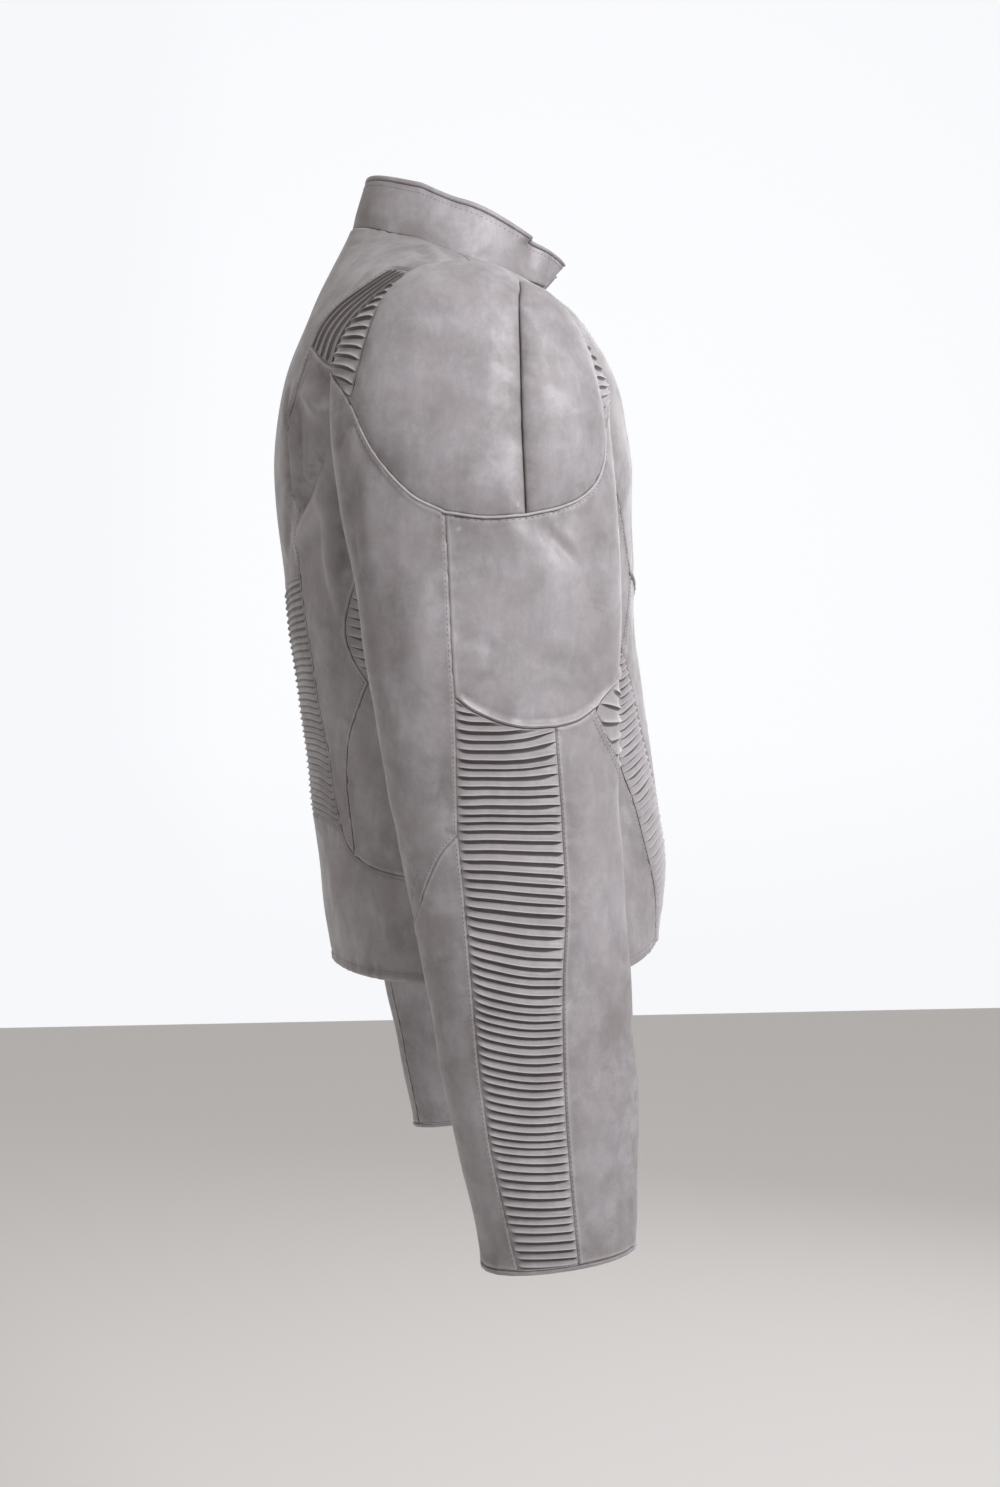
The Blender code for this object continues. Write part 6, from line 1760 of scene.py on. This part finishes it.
def leather_group():
    """The leather's surface as one group of nodes, which both kinds of leather use.

    Soft clouds and brushed streaks of a darker and a paler tone lie on its colour. Seam darkens it
    unevenly, as burnish and as painted shade; Groove paints a deep brown shade and Lip a pale
    highlight, each from 0 to 1. Mottle and Grain say how strong the clouds and the relief are.
    """
    group = bpy.data.node_groups.new("leather_surface", "ShaderNodeTree")
    group.interface.new_socket(name="Place", in_out="INPUT", socket_type="NodeSocketVector")
    for name in ("Seam", "Groove", "Lip", "Mottle", "Grain"):
        group.interface.new_socket(name=name, in_out="INPUT", socket_type="NodeSocketFloat")
    group.interface.new_socket(name="Colour", in_out="OUTPUT", socket_type="NodeSocketColor")
    group.interface.new_socket(name="Roughness", in_out="OUTPUT", socket_type="NodeSocketFloat")
    group.interface.new_socket(name="Normal", in_out="OUTPUT", socket_type="NodeSocketVector")
    given = group.nodes.new("NodeGroupInput").outputs
    g = Nodes(group, given["Place"])
    layers = {key: g.ranged(g.noise(*row[:5]), *row[5:]) for key, row in LEATHER_CLOUDS.items()}
    patches = layers["patches"]
    fine = g.noise(520, 3.0, 0.7)
    cloudy = g.math("MULTIPLY", layers["cloud"], TINTS["cloud"])
    dark = g.math("ADD", cloudy, g.math("MULTIPLY", patches, TINTS["patches"]))
    streaks = g.math("MULTIPLY", layers["streaks"], TINTS["streaks"])
    colour = g.mixed(streaks, COLOURS["leather"], COLOURS["leather pale"])
    colour = g.mixed(g.math("MULTIPLY", dark, given["Mottle"]), colour, COLOURS["leather dark"])
    colour = g.mixed(g.math("MULTIPLY", layers["pink"], TINTS["pink"]), colour, COLOURS["leather pink"])
    colour = g.mixed(g.ranged(fine, 0.45, 0.75, 0.0, TINTS["fine"]), colour, COLOURS["leather dark"])
    uneven = g.math("MULTIPLY", given["Seam"], g.ranged(patches, 0, 1, *TINTS["seam"]))
    colour = g.mixed(uneven, colour, COLOURS["leather worn and shaded"])
    colour = g.mixed(g.math("MULTIPLY", given["Lip"], TINTS["lip"]), colour, COLOURS["leather lip highlight"])
    colour = g.mixed(g.math("MULTIPLY", given["Groove"], TINTS["groove"]), colour, COLOURS["leather groove shade"])
    coarse = g.bump(g.noise(120, 3.0, 0.6), 0.3 * MM, 0.5)
    grain = g.bump(g.noise(850, 3.0, 0.65), 0.12 * MM, 0.5, coarse)
    g.link(given["Grain"], grain.node.inputs["Strength"])
    made = group.nodes.new("NodeGroupOutput").inputs
    g.link(colour, made["Colour"])
    g.link(g.ranged(patches, 0, 1, 0.42, 0.54), made["Roughness"])
    g.link(grain, made["Normal"])
    return group


def leather(name, mottle, grain):
    """A material of leather, with its own strength of clouds and of relief."""
    material, shader, m = new_material(name)
    surface = m.add("ShaderNodeGroup")
    surface.node_tree = LEATHER_GROUP
    surface.inputs["Mottle"].default_value = mottle
    surface.inputs["Grain"].default_value = grain
    # The attribute holds painted seam darkening (burnish and shade), painted groove shade and painted lip
    # highlight
    wear_and_shading = m.add("ShaderNodeAttribute", attribute_name="wear_and_shading")
    shares = m.add("ShaderNodeSeparateXYZ")
    m.link(wear_and_shading.outputs["Vector"], shares.inputs["Vector"])
    m.link(m.place, surface.inputs["Place"])
    for key, share in zip(("Seam", "Groove", "Lip"), shares.outputs):
        m.link(share, surface.inputs[key])
    m.link(surface.outputs["Colour"], shader.inputs["Base Color"])
    m.link(surface.outputs["Roughness"], shader.inputs["Roughness"])
    m.link(surface.outputs["Normal"], shader.inputs["Normal"])
    shader.inputs["Sheen Weight"].default_value = 0.1
    shader.inputs["Sheen Roughness"].default_value = 0.5
    shader.inputs["Specular IOR Level"].default_value = 0.5
    return material


def woven(name, colour, dark, scale, roughness):
    """Plain cloth: two crossed sets of fine bands."""
    material, shader, m = new_material(name)
    shade = None
    for direction in ("DIAGONAL", "Z"):
        wave = m.add("ShaderNodeTexWave", wave_type="BANDS", bands_direction=direction)
        wave.inputs["Scale"].default_value = scale
        m.link(m.place, wave.inputs["Vector"])
        shade = wave.outputs["Fac"] if shade is None else m.math("MULTIPLY", shade, wave.outputs["Fac"])
    m.link(m.mixed(shade, dark, colour), shader.inputs["Base Color"])
    m.link(m.bump(shade, 0.15 * MM, 0.5), shader.inputs["Normal"])
    shader.inputs["Roughness"].default_value = roughness
    return material


def simple(name, colour, roughness, metallic=0.0):
    """One colour whose roughness is a little spotted."""
    material, shader, m = new_material(name)
    spots = m.ranged(m.noise(300, 2.0), 0.3, 0.7, roughness * 0.85, min(1.0, roughness * 1.2))
    m.link(spots, shader.inputs["Roughness"])
    shader.inputs["Base Color"].default_value = (*colour, 1)
    shader.inputs["Metallic"].default_value = metallic
    return material


# ---------------------------------------------------------------------------- stage
def studio_light(tree):
    """Soft light from all round, dim and warm behind the back; what is seen of it directly is white."""
    w = Nodes(tree, None)
    direction = w.add("ShaderNodeSeparateXYZ")
    w.link(w.add("ShaderNodeTexCoord").outputs["Generated"], direction.inputs["Vector"])
    light = WORLD["middle"]
    ways = (("left", "right"), ("back", "front"), ("up", "down"))
    for axis, (ahead, behind) in zip(direction.outputs, ways):
        for share, key in ((w.math("MAXIMUM", axis, 0.0), ahead), (w.math("MINIMUM", axis, 0.0), behind)):
            amount = WORLD[key] if key == ahead else -WORLD[key]
            light = w.math("ADD", w.math("MULTIPLY", share, amount), light)
    light = w.math("MAXIMUM", light, WORLD["least"])
    seen = w.add("ShaderNodeLightPath").outputs["Is Camera Ray"]
    light = w.math("MAXIMUM", light, w.math("MULTIPLY", seen, WORLD["seen"]))
    background = tree.nodes["Background"]
    w.link(w.mixed(w.ranged(light, 0.2, 0.9), WORLD["dim"], WORLD["bright"]), background.inputs["Color"])
    w.link(light, background.inputs["Strength"])


def stage():
    """A plain pale floor, soft light from all round, the lamps and the camera."""
    corners = [(x * FLOOR_HALF, y * FLOOR_HALF, FLOOR_LEVEL) for x, y in ((-1, -1), (1, -1), (1, 1), (-1, 1))]
    floor = make_object("floor", corners, [(0, 1, 2, 3)], [simple("floor_paint", (0.86, 0.86, 0.86), 0.9)])
    world = bpy.data.worlds.new("studio")
    bpy.context.scene.world = world
    world.use_nodes = True
    studio_light(world.node_tree)
    bpy.context.scene.view_settings.view_transform = "Standard"
    for name, place, aim, size, power, colour in LIGHTS:
        lamp = bpy.data.lights.new(name, "AREA")
        lamp.shape = "RECTANGLE"
        lamp.size, lamp.size_y = size
        lamp.energy = power
        lamp.color = colour
        made = bpy.data.objects.new(name, lamp)
        made.location = place
        made.rotation_euler = (Vector(aim) - Vector(place)).to_track_quat("-Z", "Y").to_euler()
        bpy.context.scene.collection.objects.link(made)
    data = bpy.data.cameras.new("camera")
    data.sensor_fit = "VERTICAL"
    data.sensor_height = CAMERA["sensor"]
    data.lens = CAMERA["lens"]
    made = bpy.data.objects.new("camera", data)
    made.location = CAMERA["place"]
    turn = math.radians(CAMERA["turn"])
    made.rotation_euler = Vector((math.cos(turn), -math.sin(turn), 0)).to_track_quat("-Z", "Y").to_euler()
    bpy.context.scene.collection.objects.link(made)
    bpy.context.scene.camera = made


LEATHER_GROUP = leather_group()
LEATHER = [
    leather("soft_leather", 1.0, 0.5),
    woven("lining_twill", COLOURS["lining"], COLOURS["lining dark"], 700, 0.8),
]
RIBBED = [leather("tucked_leather", 0.6, 0.4), LEATHER[1]]
TAPE = woven("tape_weave", COLOURS["tape"], COLOURS["tape dark"], 900, 0.85)
METAL = simple("nickel", COLOURS["metal"], 0.3, 1.0)
THREAD = simple("thread_twist", COLOURS["thread"], 0.7)

stage()
back_pieces()
for _name, _side in SIDES:
    half_pieces(_name, _side)
    sleeve_pieces(_name, _side)
    zip_tape(_name, _side)
    zip_teeth(_name, _side)
collar_pieces()
slider_and_pull()
threads = stitching("topstitching")
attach(threads, BODY)
